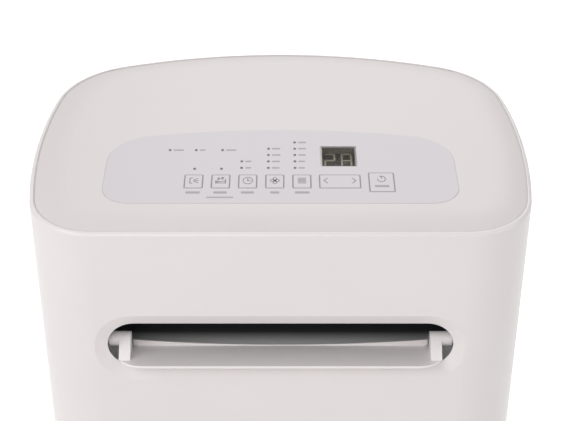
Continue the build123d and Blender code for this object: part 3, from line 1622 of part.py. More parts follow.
with BuildPart() as housing_screws:
    for screw_z in (lower_screw_z, upper_screw_z):
        for angle in screw_angles:
            plane = screw_plane(angle, screw_z)
            disc(plane, screw_head_radius, 0, screw_head_height)
            disc(plane.offset(-screw_length), screw_radius, 0, screw_length)
            with BuildSketch(plane.offset(screw_head_height), mode=Mode.PRIVATE) as slot:
                Rectangle(2 * screw_head_radius, screw_slot)
            extrude(slot.sketch, amount=-screw_slot, mode=Mode.SUBTRACT)
finish(housing_screws, "housing_screws")
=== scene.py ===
import bpy
import math
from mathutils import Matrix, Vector


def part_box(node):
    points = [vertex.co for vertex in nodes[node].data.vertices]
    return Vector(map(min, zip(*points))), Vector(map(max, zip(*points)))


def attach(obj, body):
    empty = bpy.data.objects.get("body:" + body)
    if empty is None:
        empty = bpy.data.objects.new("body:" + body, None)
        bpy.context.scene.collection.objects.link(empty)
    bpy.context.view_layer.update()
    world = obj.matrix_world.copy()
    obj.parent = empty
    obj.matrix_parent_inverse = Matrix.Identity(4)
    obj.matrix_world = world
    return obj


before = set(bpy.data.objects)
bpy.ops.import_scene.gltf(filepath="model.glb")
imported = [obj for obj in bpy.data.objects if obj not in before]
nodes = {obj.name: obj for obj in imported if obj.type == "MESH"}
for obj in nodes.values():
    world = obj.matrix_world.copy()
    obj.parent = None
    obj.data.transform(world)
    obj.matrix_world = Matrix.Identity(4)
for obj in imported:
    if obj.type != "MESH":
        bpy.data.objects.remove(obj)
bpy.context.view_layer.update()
mm = 0.001
print("frame loaded:", len(nodes), "nodes")

# lengths in the dictionaries are in mm, but those of the camera, the floor and the lights are in m

# camera, above and in front of the machine, looking down on the panel
cameraSetup = {
    "lens": 94.2,          # mm, on a sensor of this width
    "sensor": 36,
    "place": (0.0, -1.1409, 1.4022),
    "lookDown": 34.55,     # degrees below level
    "nearest": 0.05,
}


def makeCamera():
    bpy.ops.object.camera_add(
        location=cameraSetup["place"],
        rotation=(math.radians(90 - cameraSetup["lookDown"]), 0, 0),
    )
    camera = bpy.context.active_object
    camera.data.lens = cameraSetup["lens"]
    camera.data.sensor_width = cameraSetup["sensor"]
    camera.data.clip_start = cameraSetup["nearest"]
    bpy.context.scene.camera = camera


makeCamera()
print("camera set")


def linear(hexColour):
    channels = [int(hexColour[i:i + 2], 16) / 255 for i in (1, 3, 5)]
    return tuple(c / 12.92 if c <= 0.04045 else ((c + 0.055) / 1.055) ** 2.4 for c in channels) + (1.0,)


def addNode(tree, kind, settings=None, links=None):
    # settings go to the sockets by name or number, else to the node itself
    node = tree.nodes.new(kind)
    for key, value in (settings or {}).items():
        if isinstance(key, int) or key in node.inputs:
            node.inputs[key].default_value = value
        else:
            setattr(node, key, value)
    for key, source in (links or {}).items():
        tree.links.new(source, node.inputs[key])
    return node


def newFinish(name):
    finish = bpy.data.materials.new(name)
    finish.use_nodes = True
    finish.node_tree.nodes.clear()
    return finish, finish.node_tree


# textures of these scales repeat about every millimetre
noiseScale = 1000
waveScale = 100 * math.pi

# shared by all moulded finishes: how far the roughness wanders, and the grain's depth against its width
skinWander = {"roughness": 0.04, "grainDepth": 0.1}


def mouldedPlastic(name, look):
    # injection-moulded part: fine eroded grain in the bump, faint flow marks in the colour
    finish, tree = newFinish(name)
    spot = addNode(tree, "ShaderNodeTexCoord").outputs["Object"]
    grain = addNode(
        tree, "ShaderNodeTexNoise", {"Scale": noiseScale / look["grain"], "Detail": 2.0}, {"Vector": spot}
    )
    flow = addNode(
        tree, "ShaderNodeTexNoise", {"Scale": noiseScale / look["flow"], "Detail": 3.0}, {"Vector": spot}
    )
    tint = addNode(
        tree,
        "ShaderNodeMix",
        {"data_type": "RGBA", 6: linear(look["shade"]), 7: linear(look["light"])},
        {"Factor": flow.outputs["Fac"]},
    )
    if "mouth" in look:
        # painted light: paler toward the duct's opening, standing in for the light that reaches its floor
        # there
        depth = addNode(tree, "ShaderNodeSeparateXYZ", None, {"Vector": spot})
        near = addNode(
            tree,
            "ShaderNodeMapRange",
            {"From Min": look["mouth"]["back"] * mm, "From Max": look["mouth"]["front"] * mm},
            {"Value": depth.outputs["Y"]},
        )
        tint = addNode(
            tree,
            "ShaderNodeMix",
            {"data_type": "RGBA", 7: linear(look["mouth"]["light"])},
            {"Factor": near.outputs["Result"], 6: tint.outputs[2]},
        )
    wander = skinWander["roughness"]
    gloss = addNode(
        tree,
        "ShaderNodeMapRange",
        {"To Min": look["roughness"] - wander, "To Max": look["roughness"] + wander},
        {"Value": flow.outputs["Fac"]},
    )
    bump = addNode(
        tree,
        "ShaderNodeBump",
        {"Strength": look["bump"], "Distance": look["grain"] * mm * skinWander["grainDepth"]},
        {"Height": grain.outputs["Fac"]},
    )
    skin = addNode(
        tree,
        "ShaderNodeBsdfPrincipled",
        {"Metallic": look.get("metallic", 0.0), "Specular IOR Level": look.get("shine", 0.5)},
        {
            "Base Color": tint.outputs[2],
            "Roughness": gloss.outputs["Result"],
            "Normal": bump.outputs["Normal"],
        },
    )
    addNode(tree, "ShaderNodeOutputMaterial", None, {"Surface": skin.outputs["BSDF"]})
    return finish


finishes = {
    # ABS moulded in a spark-eroded tool: an even, satin, warm white
    "housingAbs": {
        "light": "#E9E3E2", "shade": "#E4DEDE", "grain": 0.9, "flow": 120, "roughness": 0.3, "bump": 0.25,
        "shine": 0.6,
    },
    "coverAbs": {
        "light": "#DFD8D7", "shade": "#DAD3D3", "grain": 0.8, "flow": 140, "roughness": 0.42, "bump": 0.2,
    },
    # the same plastic as the housing, painted a little paler as painted light, to lift the shade it lies in
    # under the outlet's lip
    "flapAbs": {
        "light": "#F0EBEA", "shade": "#EBE6E5", "grain": 0.9, "flow": 60, "roughness": 0.4, "bump": 0.2,
    },
    # polyester overlay film, printed on its underside: a cooler, smoother white
    "overlayFilm": {
        "light": "#D7D1D5", "shade": "#D3CDD1", "grain": 0.5, "flow": 80, "roughness": 0.36, "bump": 0.12,
        "shine": 0.3,
    },
    # the film over the keys, worn a little duller
    "keyFilm": {
        "light": "#D8D2D6", "shade": "#D4CED2", "grain": 0.5, "flow": 25, "roughness": 0.38, "bump": 0.12,
        "shine": 0.3,
    },
    # grey screen ink of the outlines and icons
    "printedInk": {
        "light": "#8F8B90", "shade": "#838085", "grain": 0.3, "flow": 4, "roughness": 0.6, "bump": 0.1,
    },
    # the captions' grey is printed thinner than the outlines' grey
    "captionInk": {
        "light": "#B0ABB0", "shade": "#A6A1A6", "grain": 0.3, "flow": 3, "roughness": 0.6, "bump": 0.1,
    },
    # smoked epoxy round the lamps, unlit
    "lampEpoxy": {
        "light": "#3A353A", "shade": "#242024", "grain": 0.3, "flow": 2, "roughness": 0.25, "bump": 0.05,
    },
    # smoked face of the digit module
    "displayFace": {
        "light": "#221C15", "shade": "#1A1510", "grain": 0.4, "flow": 10, "roughness": 0.5, "bump": 0.08,
        "shine": 0.25,
    },
    # warm grey ABS of the display's walls
    "displayShroud": {
        "light": "#625A50", "shade": "#554E45", "grain": 0.6, "flow": 10, "roughness": 0.5, "bump": 0.15,
    },
    # high-impact polystyrene, dark grey; between these two depths it is painted paler, palest at the front,
    # as painted light on the duct's floor near its opening
    "ductPolystyrene": {
        "light": "#3E3E41", "shade": "#38383B", "grain": 0.9, "flow": 60, "roughness": 0.5, "bump": 0.3,
        "mouth": {"back": -93, "front": -117, "light": "#EDECEC"},
    },
    # glass-filled polypropylene, near black
    "blowerPolypropylene": {
        "light": "#2B2B2E", "shade": "#242427", "grain": 0.9, "flow": 50, "roughness": 0.5, "bump": 0.3,
    },
    # ABS of the tray, deck and boxes, a shade greyer than the housing
    "trayAbs": {
        "light": "#D4CFCE", "shade": "#CCC7C6", "grain": 1.0, "flow": 90, "roughness": 0.52, "bump": 0.35,
    },
    # tyre and hub in one, nylon
    "castorNylon": {
        "light": "#3A3A3D", "shade": "#303033", "grain": 0.9, "flow": 15, "roughness": 0.42, "bump": 0.35,
    },
    # glass-filled nylon, a little paler than the wheel
    "forkNylon": {
        "light": "#46464A", "shade": "#3C3C40", "grain": 0.9, "flow": 20, "roughness": 0.48, "bump": 0.35,
    },
    # EPDM rubber, matt
    "epdmRubber": {
        "light": "#232325", "shade": "#1B1B1D", "grain": 0.7, "flow": 12, "roughness": 0.7, "bump": 0.4,
    },
    # glass-epoxy laminate under green solder mask
    "boardLaminate": {
        "light": "#2C6A43", "shade": "#245A38", "grain": 0.8, "flow": 12, "roughness": 0.4, "bump": 0.2,
    },
    # zinc-plated steel
    "zincSteel": {
        "light": "#B9BCC0", "shade": "#A3A6AB", "grain": 1.2, "flow": 14, "roughness": 0.38, "bump": 0.2,
        "metallic": 1.0,
    },
    # drawn copper tube, lightly tarnished
    "copperTube": {
        "light": "#C87B52", "shade": "#A9613F", "grain": 1.0, "flow": 30, "roughness": 0.34, "bump": 0.15,
        "metallic": 1.0,
    },
    # baked black enamel on steel
    "blackEnamel": {
        "light": "#1E1E20", "shade": "#151517", "grain": 1.2, "flow": 40, "roughness": 0.35, "bump": 0.2,
    },
}
materials = {name: mouldedPlastic(name, look) for name, look in finishes.items()}


def finStock(name, look):
    # stacked aluminium fins: thin upright ridges, with painted shade in the gaps between them
    finish, tree = newFinish(name)
    spot = addNode(tree, "ShaderNodeTexCoord").outputs["Object"]
    ridges = addNode(
        tree,
        "ShaderNodeTexWave",
        {
            "bands_direction": look["across"],
            "Scale": waveScale / look["pitch"],
            "Distortion": look["wobble"],
        },
        {"Vector": spot},
    )
    tint = addNode(
        tree,
        "ShaderNodeMix",
        {"data_type": "RGBA", 6: linear(look["shade"]), 7: linear(look["light"])},
        {"Factor": ridges.outputs["Fac"]},
    )
    bump = addNode(
        tree,
        "ShaderNodeBump",
        {"Strength": look["bump"], "Distance": look["depth"] * mm},
        {"Height": ridges.outputs["Fac"]},
    )
    skin = addNode(
        tree,
        "ShaderNodeBsdfPrincipled",
        {"Metallic": 1.0, "Roughness": look["roughness"]},
        {"Base Color": tint.outputs[2], "Normal": bump.outputs["Normal"]},
    )
    addNode(tree, "ShaderNodeOutputMaterial", None, {"Surface": skin.outputs["BSDF"]})
    return finish


# fins are drawn at 2.5 mm instead of 1.4 mm, so that they show; their shade tone is painted shade in the gaps
finLook = {
    "pitch": 2.5, "wobble": 0.6, "light": "#C9CCCF", "shade": "#7D8185", "roughness": 0.4,
    "bump": 0.8, "depth": 0.4,
}
for across in "XY":
    materials["finsAcross" + across] = finStock("finsAcross" + across, {"across": across, **finLook})


def wovenFilter(name, look):
    # polypropylene frame, with a net of crossing threads in the middle of its thickness; the holes between
    # the threads are painted dark, as painted shade seen through them
    finish, tree = newFinish(name)
    spot = addNode(tree, "ShaderNodeTexCoord").outputs["Object"]
    waves = [
        addNode(
            tree,
            "ShaderNodeTexWave",
            {"bands_direction": across, "Scale": waveScale / look["pitch"]},
            {"Vector": spot},
        )
        for across in "XZ"
    ]
    threads = addNode(
        tree,
        "ShaderNodeMath",
        {"operation": "MAXIMUM"},
        {0: waves[0].outputs["Fac"], 1: waves[1].outputs["Fac"]},
    )
    place = addNode(tree, "ShaderNodeSeparateXYZ", None, {"Vector": spot})
    net = addNode(
        tree,
        "ShaderNodeMath",
        {"operation": "COMPARE", 1: look["middle"], 2: look["netHalf"] * mm},
        {0: place.outputs["Y"]},
    )
    solid = addNode(tree, "ShaderNodeMath", {"operation": "SUBTRACT", 0: 1.0}, {1: net.outputs[0]})
    cover = addNode(
        tree, "ShaderNodeMath", {"operation": "MAXIMUM"}, {0: threads.outputs[0], 1: solid.outputs[0]}
    )
    tint = addNode(
        tree,
        "ShaderNodeMix",
        {"data_type": "RGBA", 6: linear(look["shade"]), 7: linear(look["light"])},
        {"Factor": cover.outputs[0]},
    )
    bump = addNode(
        tree,
        "ShaderNodeBump",
        {"Strength": look["bump"], "Distance": look["depth"] * mm},
        {"Height": cover.outputs[0]},
    )
    skin = addNode(
        tree,
        "ShaderNodeBsdfPrincipled",
        {"Roughness": look["roughness"]},
        {"Base Color": tint.outputs[2], "Normal": bump.outputs["Normal"]},
    )
    addNode(tree, "ShaderNodeOutputMaterial", None, {"Surface": skin.outputs["BSDF"]})
    return finish


# threads are drawn at 2.4 mm instead of 0.8 mm, so that they show; the net is in the middle of the frame, its
# shade tone painted shade in the holes
filterCorners = nodes["air_filter"].bound_box
filterLook = {
    "pitch": 2.4, "light": "#6C6E72", "shade": "#2E2F32", "roughness": 0.55, "bump": 0.7, "depth": 0.2,
    "netHalf": 0.9, "middle": sum(corner[1] for corner in filterCorners) / len(filterCorners),
}
materials["wovenPolypropylene"] = wovenFilter("wovenPolypropylene", filterLook)


def clearAcrylic(name, look):
    # cast acrylic window: clear, with a faint smoke and a sharp reflection
    finish, tree = newFinish(name)
    spot = addNode(tree, "ShaderNodeTexCoord").outputs["Object"]
    haze = addNode(tree, "ShaderNodeTexNoise", {"Scale": look["haze"]}, {"Vector": spot})
    gloss = addNode(
        tree,
        "ShaderNodeMapRange",
        {"To Min": look["clearest"], "To Max": look["roughest"]},
        {"Value": haze.outputs["Fac"]},
    )
    skin = addNode(
        tree,
        "ShaderNodeBsdfPrincipled",
        {
            "Base Color": linear(look["smoke"]),
            "Alpha": look["smokeShare"],
            "IOR": look["index"],
            "Specular IOR Level": look["shine"],
        },
        {"Roughness": gloss.outputs["Result"]},
    )
    addNode(tree, "ShaderNodeOutputMaterial", None, {"Surface": skin.outputs["BSDF"]})
    return finish


def litSegment(name, look):
    # lamp segment behind a diffuser: dull olive, its tone wandering a little from place to place
    finish, tree = newFinish(name)
    spot = addNode(tree, "ShaderNodeTexCoord").outputs["Object"]
    cloud = addNode(tree, "ShaderNodeTexNoise", {"Scale": look["cloud"]}, {"Vector": spot})
    tint = addNode(
        tree,
        "ShaderNodeMix",
        {"data_type": "RGBA", 6: linear(look["shade"]), 7: linear(look["light"])},
        {"Factor": cloud.outputs["Fac"]},
    )
    skin = addNode(
        tree,
        "ShaderNodeBsdfPrincipled",
        {"Roughness": look["roughness"], "IOR": look["index"], "Emission Strength": look["glow"]},
        {"Base Color": tint.outputs[2], "Emission Color": tint.outputs[2]},
    )
    addNode(tree, "ShaderNodeOutputMaterial", None, {"Surface": skin.outputs["BSDF"]})
    return finish


windowLook = {
    "smoke": "#4A443C", "smokeShare": 0.1, "index": 1.49, "shine": 0.3,
    "haze": 120.0, "clearest": 0.04, "roughest": 0.1,
}
segmentLook = {
    "light": "#A09C80", "shade": "#85826A", "cloud": 900.0, "roughness": 0.4, "index": 1.5, "glow": 0.15,
}
materials["clearAcrylic"] = clearAcrylic("clearAcrylic", windowLook)
materials["litSegment"] = litSegment("litSegment", segmentLook)

nodeFinish = {
    "housingAbs": ["front_housing", "rear_housing", "side_handles", "exhaust_collar"],
    "coverAbs": ["top_cover"],
    "flapAbs": ["outlet_flap"],
    "overlayFilm": ["control_overlay"],
    "keyFilm": ["key_swing", "key_sleep", "key_timer", "key_fan", "key_mode", "key_power", "rocker_key"],
    "clearAcrylic": ["display_window"],
    "displayFace": ["display_module"],
    "lampEpoxy": ["indicator_lamps"],
    "boardLaminate": ["control_board", "main_board"],
    "ductPolystyrene": ["outlet_duct"],
    "blowerPolypropylene": [
        "evaporator_blower_case", "evaporator_blower_wheel",
        "condenser_blower_case", "condenser_blower_wheel", "slinger_wheel",
    ],
    "trayAbs": ["base_tray", "mid_deck", "electrical_box", "float_switch", "float_ring"],
    "wovenPolypropylene": ["air_filter"],
    "castorNylon": [f"castor_wheel_{i}" for i in range(1, 5)],
    "forkNylon": [f"castor_fork_{i}" for i in range(1, 5)],
    "epdmRubber": ["upper_drain_plug", "lower_drain_plug", "cord_gland", "compressor_grommets"],
    "zincSteel": [
        "evaporator_fan_motor", "evaporator_fan_shaft", "condenser_fan_motor", "condenser_fan_shaft",
        "slinger_motor", "swing_motor", "housing_screws", "run_capacitor",
    ],
    "copperTube": [
        "evaporator_tubes", "condenser_tubes",
        "discharge_pipe", "suction_pipe", "liquid_line", "reversing_valve",
    ],
    "blackEnamel": ["compressor"],
    "finsAcrossX": ["evaporator_fins"],
    "finsAcrossY": ["condenser_fins"],
}
for finishName, members in nodeFinish.items():
    for member in members:
        nodes[member].data.materials.clear()
        nodes[member].data.materials.append(materials[finishName])
unfinished = set(nodes) - {member for members in nodeFinish.values() for member in members}
print("finishes given, nodes without one:", sorted(unfinished))

# vertices closer than this become one
weldGap = 0.01

# a pale strip at the bottom of the seam between the cover and the rim
seam = {
    "thickness": 1.2,
    "lift": 0.9,                     # above the foot of the cover's side faces
    "endX": 0.76, "endY": 0.82,      # its faces lie past these shares of the cover's reach
    "steepest": 0.2,                 # greatest upward part of their normals
}


def thicken(piece, thickness, offset):
    bpy.ops.object.modifier_add(type="SOLIDIFY")
    piece.modifiers[-1].thickness = thickness * mm
    piece.modifiers[-1].offset = offset
    bpy.ops.object.modifier_apply(modifier=piece.modifiers[-1].name)


def nameAndFinish(piece, name, finish):
    piece.name = name
    piece.data.name = name
    piece.data.materials.clear()
    piece.data.materials.append(materials[finish])


def pickFaces(piece, wanted):
    # leaves edit mode with only the wanted faces selected
    bpy.ops.object.mode_set(mode="EDIT")
    bpy.ops.mesh.select_all(action="DESELECT")
    bpy.ops.mesh.select_mode(type="FACE")
    bpy.ops.object.mode_set(mode="OBJECT")
    for face in piece.data.polygons:
        face.select = wanted(face)
    bpy.ops.object.mode_set(mode="EDIT")


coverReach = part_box("top_cover")[1]


def notSeamFace(face):
    endX, endY = seam["endX"] * coverReach.x, seam["endY"] * coverReach.y
    outside = abs(face.center.x) > endX or abs(face.center.y) > endY
    outward = face.normal.x * face.center.x + face.normal.y * face.center.y > 0
    return not (outside and outward and abs(face.normal.z) < seam["steepest"])


def makeSeam():
    # grown from a copy of the cover's outer side faces
    bpy.ops.object.select_all(action="DESELECT")
    nodes["top_cover"].select_set(True)
    bpy.context.view_layer.objects.active = nodes["top_cover"]
    bpy.ops.object.duplicate()
    piece = bpy.context.active_object
    pickFaces(piece, notSeamFace)
    bpy.ops.mesh.delete(type="FACE")
    bpy.ops.mesh.select_mode(type="VERT")
    bpy.ops.mesh.select_all(action="SELECT")
    bpy.ops.mesh.remove_doubles(threshold=weldGap * mm)
    bpy.ops.transform.translate(value=(0, 0, seam["lift"] * mm))
    bpy.ops.object.mode_set(mode="OBJECT")
    thicken(piece, seam["thickness"], 0)
    nameAndFinish(piece, "cover_seam", "trayAbs")
    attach(piece, "cabinet")


makeSeam()
print("seam closed")

# printed marks on the film: their thickness, and the widths of their lines
ink = {
    "thickness": 0.06, "outline": 0.65, "icon": 0.75,
    "outlineInset": 0.15, "outlineCorner": 1.4, "barCorner": 0.5,
    "cornerSteps": 4, "ringSteps": 28,
}
keySkirt = 1.0     # the keys' hidden skirts reach this far past their faces
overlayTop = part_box("control_overlay")[1].z / mm


def flatFace(place, size, corner=0):
    # one flat face, left open in edit mode
    bpy.ops.object.select_all(action="DESELECT")
    bpy.ops.mesh.primitive_plane_add(size=mm, location=(0, 0, 0))
    bpy.ops.object.mode_set(mode="EDIT")
    bpy.ops.transform.resize(value=(size[0], size[1], 1))
    bpy.ops.transform.translate(value=[part * mm for part in place])
    if corner:
        bpy.ops.mesh.bevel(offset=corner * mm, segments=ink["cornerSteps"], affect="VERTICES")
    return bpy.context.active_object


def barStroke(place, size, corner=ink["barCorner"]):
    piece = flatFace(place, size, corner)
    bpy.ops.object.mode_set(mode="OBJECT")
    return piece


def frameStroke(place, size, corner, line):
    piece = flatFace(place, size, corner)
    bpy.ops.mesh.select_all(action="SELECT")
    bpy.ops.mesh.inset(thickness=line * mm, depth=0)
    bpy.ops.mesh.delete(type="FACE")
    bpy.ops.object.mode_set(mode="OBJECT")
    return piece


def placeStroke(piece, turn, place, tall=1):
    piece.rotation_euler.z = turn
    piece.scale.y = tall
    piece.location = [part * mm for part in place]
    bpy.ops.object.transform_apply(location=True, rotation=True, scale=True)
    return piece


def straightStroke(start, end, line, z):
    run = Vector(end) - Vector(start)
    middle = (Vector(start) + Vector(end)) / 2
    piece = barStroke((0, 0, 0), (run.length + line, line), 0)
    return placeStroke(piece, math.atan2(run.y, run.x), (middle.x, middle.y, z))


def roundStroke(centre, radius, line, z, start=0, sweep=360, tall=1):
    # a short edge spun about the centre
    piece = flatFace((0, 0, 0), (line, line))
    bpy.ops.mesh.select_all(action="DESELECT")
    bpy.ops.object.mode_set(mode="OBJECT")
    for vertex in piece.data.vertices:
        vertex.select = vertex.co.y > 0
    bpy.ops.object.mode_set(mode="EDIT")
    bpy.ops.mesh.delete(type="VERT")
    bpy.ops.mesh.select_all(action="SELECT")
    bpy.ops.transform.translate(value=(radius * mm, line / 2 * mm, 0))
    bpy.ops.mesh.spin(steps=ink["ringSteps"], angle=math.radians(sweep), center=(0, 0, 0), axis=(0, 0, 1))
    bpy.ops.mesh.select_all(action="SELECT")
    bpy.ops.mesh.remove_doubles(threshold=weldGap * mm)
    bpy.ops.mesh.normals_make_consistent(inside=False)
    bpy.ops.object.mode_set(mode="OBJECT")
    if piece.data.polygons[0].normal.z < 0:
        piece.data.flip_normals()
    return placeStroke(piece, math.radians(start), (centre[0], centre[1], z), tall)


def printInk(strokes, name, body, finish="printedInk", stretch=None):
    # the strokes become one thin printed piece
    bpy.ops.object.select_all(action="DESELECT")
    for stroke in strokes:
        stroke.select_set(True)
    piece = strokes[0]
    bpy.context.view_layer.objects.active = piece
    if len(strokes) > 1:
        bpy.ops.object.join()
    if stretch:
        bpy.ops.object.mode_set(mode="EDIT")
        bpy.ops.mesh.select_all(action="SELECT")
        middle = (stretch["about"][0] * mm, stretch["about"][1] * mm, 0)
        bpy.ops.transform.resize(value=(1, stretch["by"], 1), center_override=middle)
        bpy.ops.object.mode_set(mode="OBJECT")
    thicken(piece, ink["thickness"], 1)
    nameAndFinish(piece, name, finish)
    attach(piece, body)


def nodeSpan(name):
    # middle, size and top of a node
    low, high = (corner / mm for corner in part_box(name))
    return (low + high) / 2, high - low, high.z


def printOutline(key, body):
    middle, size, top = nodeSpan(key)
    width, depth = (part - 2 * (keySkirt + ink["outlineInset"]) for part in (size.x, size.y))
    stroke = frameStroke((middle.x, middle.y, top), (width, depth), ink["outlineCorner"], ink["outline"])
    printInk([stroke], key + "_outline", body)


keyBodies = {
    "key_swing": "key_swing", "key_sleep": "key_sleep", "key_timer": "key_timer", "key_fan": "key_fan",
    "key_mode": "key_mode", "key_power": "key_power", "rocker_key": "rocker",
}
for key, body in keyBodies.items():
    printOutline(key, body)
print("key outlines printed")

# icons about the middle of their key: straight lines, and rings with centre, radius, start and sweep
iconLayout = {
    "stretch": 1.25,    # taller than wide by this much
    "lift": 1.2,        # behind the middle of the key
}
swingWaves = [((0.2, 1.3 * step), (3.6, 2.4 * step)) for step in (-1, 0, 1)]
modeRows = [((-3.2, level), (3.2, level)) for level in (-3, -1.5, 0, 1.5, 3)]
fanBlades = [(2.2 * x, 2.2 * y, 1.6, 0, 360) for x, y in ((1, 0), (0, 1), (-1, 0), (0, -1))]
rockerArrows = [((13.6 * side, 0), (10.9 * side, 3 * half)) for side in (-1, 1) for half in (-1, 1)]
icons = {
    "key_swing": {
        "lines": [
            ((-3.2, 2.7), (-3.2, -2.7)), ((-3.2, 2.7), (-1.4, 3.6)), ((-3.2, -2.7), (-1.4, -3.6)),
            *swingWaves,
        ],
    },
    "key_sleep": {
        "lines": [
            ((-4.2, -3), (4.2, -3)), ((4.2, -3), (4.2, 1.4)),
            ((-4.2, -3), (-4.2, 0)), ((-1.8, -1.4), (4.2, -0.6)),
            ((-2.6, 3.2), (-1, 3.2)), ((-1, 3.2), (-2.6, 1.6)), ((-2.6, 1.6), (-1, 1.6)),
            ((0.6, 3.8), (2.4, 3.8)), ((2.4, 3.8), (0.6, 2)), ((0.6, 2), (2.4, 2)),
        ],
        "rings": [(-2.9, -1.2, 0.8, 0, 360)],
    },
    "key_timer": {"lines": [((0, 0), (0, 2.6)), ((0, 0), (1.9, 0))], "rings": [(0, 0, 4.1, 0, 360)]},
    "key_fan": {"rings": [(0, 0, 0.5, 0, 360)] + fanBlades},
    "key_mode": {"lines": modeRows},
    "key_power": {"lines": [((0, 6.6), (0, 3.9))], "rings": [(0, 3, 3.4, 118, 304)]},
    "rocker_key": {"lines": rockerArrows},
}


def printIcon(key, body):
    middle, _, top = nodeSpan(key)
    x, y = middle.x, middle.y + iconLayout["lift"]
    strokes = []
    for start, end in icons[key].get("lines", []):
        ends = [(x + point[0], y + point[1]) for point in (start, end)]
        strokes.append(straightStroke(*ends, ink["icon"], top))
    for ringX, ringY, radius, start, sweep in icons[key].get("rings", []):
        strokes.append(roundStroke((x + ringX, y + ringY), radius, ink["icon"], top, start, sweep))
    printInk(strokes, key + "_icon", body, stretch={"about": (x, y), "by": iconLayout["stretch"]})


for key, body in keyBodies.items():
    printIcon(key, body)
print("icons printed")

# plain bars stand where the panel has its words, so far in front of the middle of their key
captions = {
    "below": -17, "depth": 3.2, "powerBelow": -6.2, "powerWidth": 12.4,
    "lineBelow": -24.4, "lineWidth": 23, "lineDepth": 1.8, "wordDepth": 2.2, "wordGap": 3.2,
}
captionWidths = {"key_swing": 12.2, "key_sleep": 11.4, "key_timer": 11, "key_fan": 7.4, "key_mode": 12.6}


def printCaptions():
    strokes = []
    for key, width in captionWidths.items():
        middle = nodeSpan(key)[0]
        place = (middle.x, middle.y + captions["below"], overlayTop)
        strokes.append(barStroke(place, (width, captions["depth"])))
    middle = nodeSpan("key_sleep")[0]
    lineSize = (captions["lineWidth"], captions["lineDepth"])
    strokes.append(barStroke((middle.x, middle.y + captions["lineBelow"], overlayTop), lineSize))
    printInk(strokes, "caption_bars", "cabinet", "captionInk")
    middle, _, top = nodeSpan("key_power")
    powerSize = (captions["powerWidth"], captions["depth"])
    powerBar = barStroke((middle.x, middle.y + captions["powerBelow"], top), powerSize)
    printInk([powerBar], "power_bar", "key_power", "captionInk")


printCaptions()

# lamps stand in columns behind the keys, each with the width of its word, from the front
lampLayout = {"row": 21.7, "pitch": 10.5, "shift": -5.8, "keyRow": 20.2, "statusRow": 50.8, "keyPitch": 23.4}
lampColumns = {
    "key_timer": [5.2, 5.2],
    "key_fan": [6.6, 7, 7.4, 7.2],
    "key_mode": [5.2, 5.6, 6.4, 7, 7.2],
}
statusWords = [9, 4.8, 9]
lampRim = {"radius": 0.7, "line": 1.2, "tall": 1.4}


def lampPlaces():
    # x, y and the width of the word beside it, nothing where it has none
    places = []
    middle = nodeSpan("key_swing")[0]
    for step, width in enumerate(statusWords):
        x = middle.x + (step - 1) * lampLayout["keyPitch"]
        places.append((x, middle.y + lampLayout["statusRow"], width))
    for key in ("key_swing", "key_sleep"):
        middle = nodeSpan(key)[0]
        places.append((middle.x, middle.y + lampLayout["keyRow"], 0))
    for key, widths in lampColumns.items():
        middle = nodeSpan(key)[0]
        for row, width in enumerate(widths):
            level = middle.y + lampLayout["row"] + row * lampLayout["pitch"]
            places.append((middle.x + lampLayout["shift"], level, width))
    return places


def printLamps():
    words = []
    spots = []
    for x, y, width in lampPlaces():
        spots.append(
            roundStroke((x, y), lampRim["radius"], lampRim["line"], overlayTop, tall=lampRim["tall"])
        )
        if width:
            wordX = x + captions["wordGap"] + width / 2
            words.append(barStroke((wordX, y, overlayTop), (width, captions["wordDepth"])))
    printInk(spots, "lamp_rims", "cabinet", "lampEpoxy")
    printInk(words, "lamp_words", "cabinet", "captionInk")


printLamps()
print("captions and lamp rims printed")

# two seven-segment digits on the display's face
digits = {
    "shown": "28", "width": 9.8, "height": 22.4, "line": 1.5, "pitch": 14.9,
    "front": -49.3,    # y of their foot
    "pull": 1.1,       # each segment stops this far short of its corner
}
segmentsOn = {"2": "abged", "8": "abcdefg"}


def segmentEnds(x, y):
    w, h = (digits["width"] - digits["line"]) / 2, (digits["height"] - digits["line"]) / 2
    return {
        "a": ((x - w, y + h), (x + w, y + h)), "d": ((x - w, y - h), (x + w, y - h)),
        "f": ((x - w, y + h), (x - w, y)), "b": ((x + w, y + h), (x + w, y)),
        "e": ((x - w, y), (x - w, y - h)), "c": ((x + w, y), (x + w, y - h)),
        "g": ((x - w, y), (x + w, y)),
    }


def lightDigits():
    middle, _, top = nodeSpan("display_module")
    strokes = []
    for step, digit in enumerate(digits["shown"]):
        x = middle.x + (step - 0.5) * digits["pitch"]
        places = segmentEnds(x, digits["front"] + digits["height"] / 2)
        for letter in segmentsOn[digit]:
            start, end = (Vector(point) for point in places[letter])
            pull = (end - start).normalized() * digits["pull"]
            strokes.append(straightStroke(start + pull, end - pull, digits["line"], top))
    printInk(strokes, "display_digits", "cabinet", "litSegment")


lightDigits()

# dark walls between the display's face and its window
shroud = {
    "wall": 0.8,
    "gap": 0.05,      # between the walls and the opening
    "lip": 1.2,       # the window reaches this far past the opening
}


def levelFace(face):
    return abs(face.normal.z) > 0.5


def makeShroud():
    windowMiddle, windowSize, windowTop = nodeSpan("display_window")
    low = nodeSpan("display_module")[2]
    high = windowTop - windowSize.z
    width, depth = (part - 2 * (shroud["lip"] + shroud["gap"]) for part in (windowSize.x, windowSize.y))
    bpy.ops.object.select_all(action="DESELECT")
    bpy.ops.mesh.primitive_cube_add(size=mm, location=(0, 0, 0))
    piece = bpy.context.active_object
    pickFaces(piece, levelFace)
    bpy.ops.mesh.delete(type="FACE")
    bpy.ops.mesh.select_mode(type="VERT")
    bpy.ops.mesh.select_all(action="SELECT")
    bpy.ops.transform.resize(value=(width, depth, high - low))
    bpy.ops.transform.translate(value=(windowMiddle.x * mm, windowMiddle.y * mm, (low + high) / 2 * mm))
    bpy.ops.object.mode_set(mode="OBJECT")
    thicken(piece, shroud["wall"], -1)
    nameAndFinish(piece, "display_shroud", "displayShroud")
    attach(piece, "cabinet")


makeShroud()
print("display lit and walled")


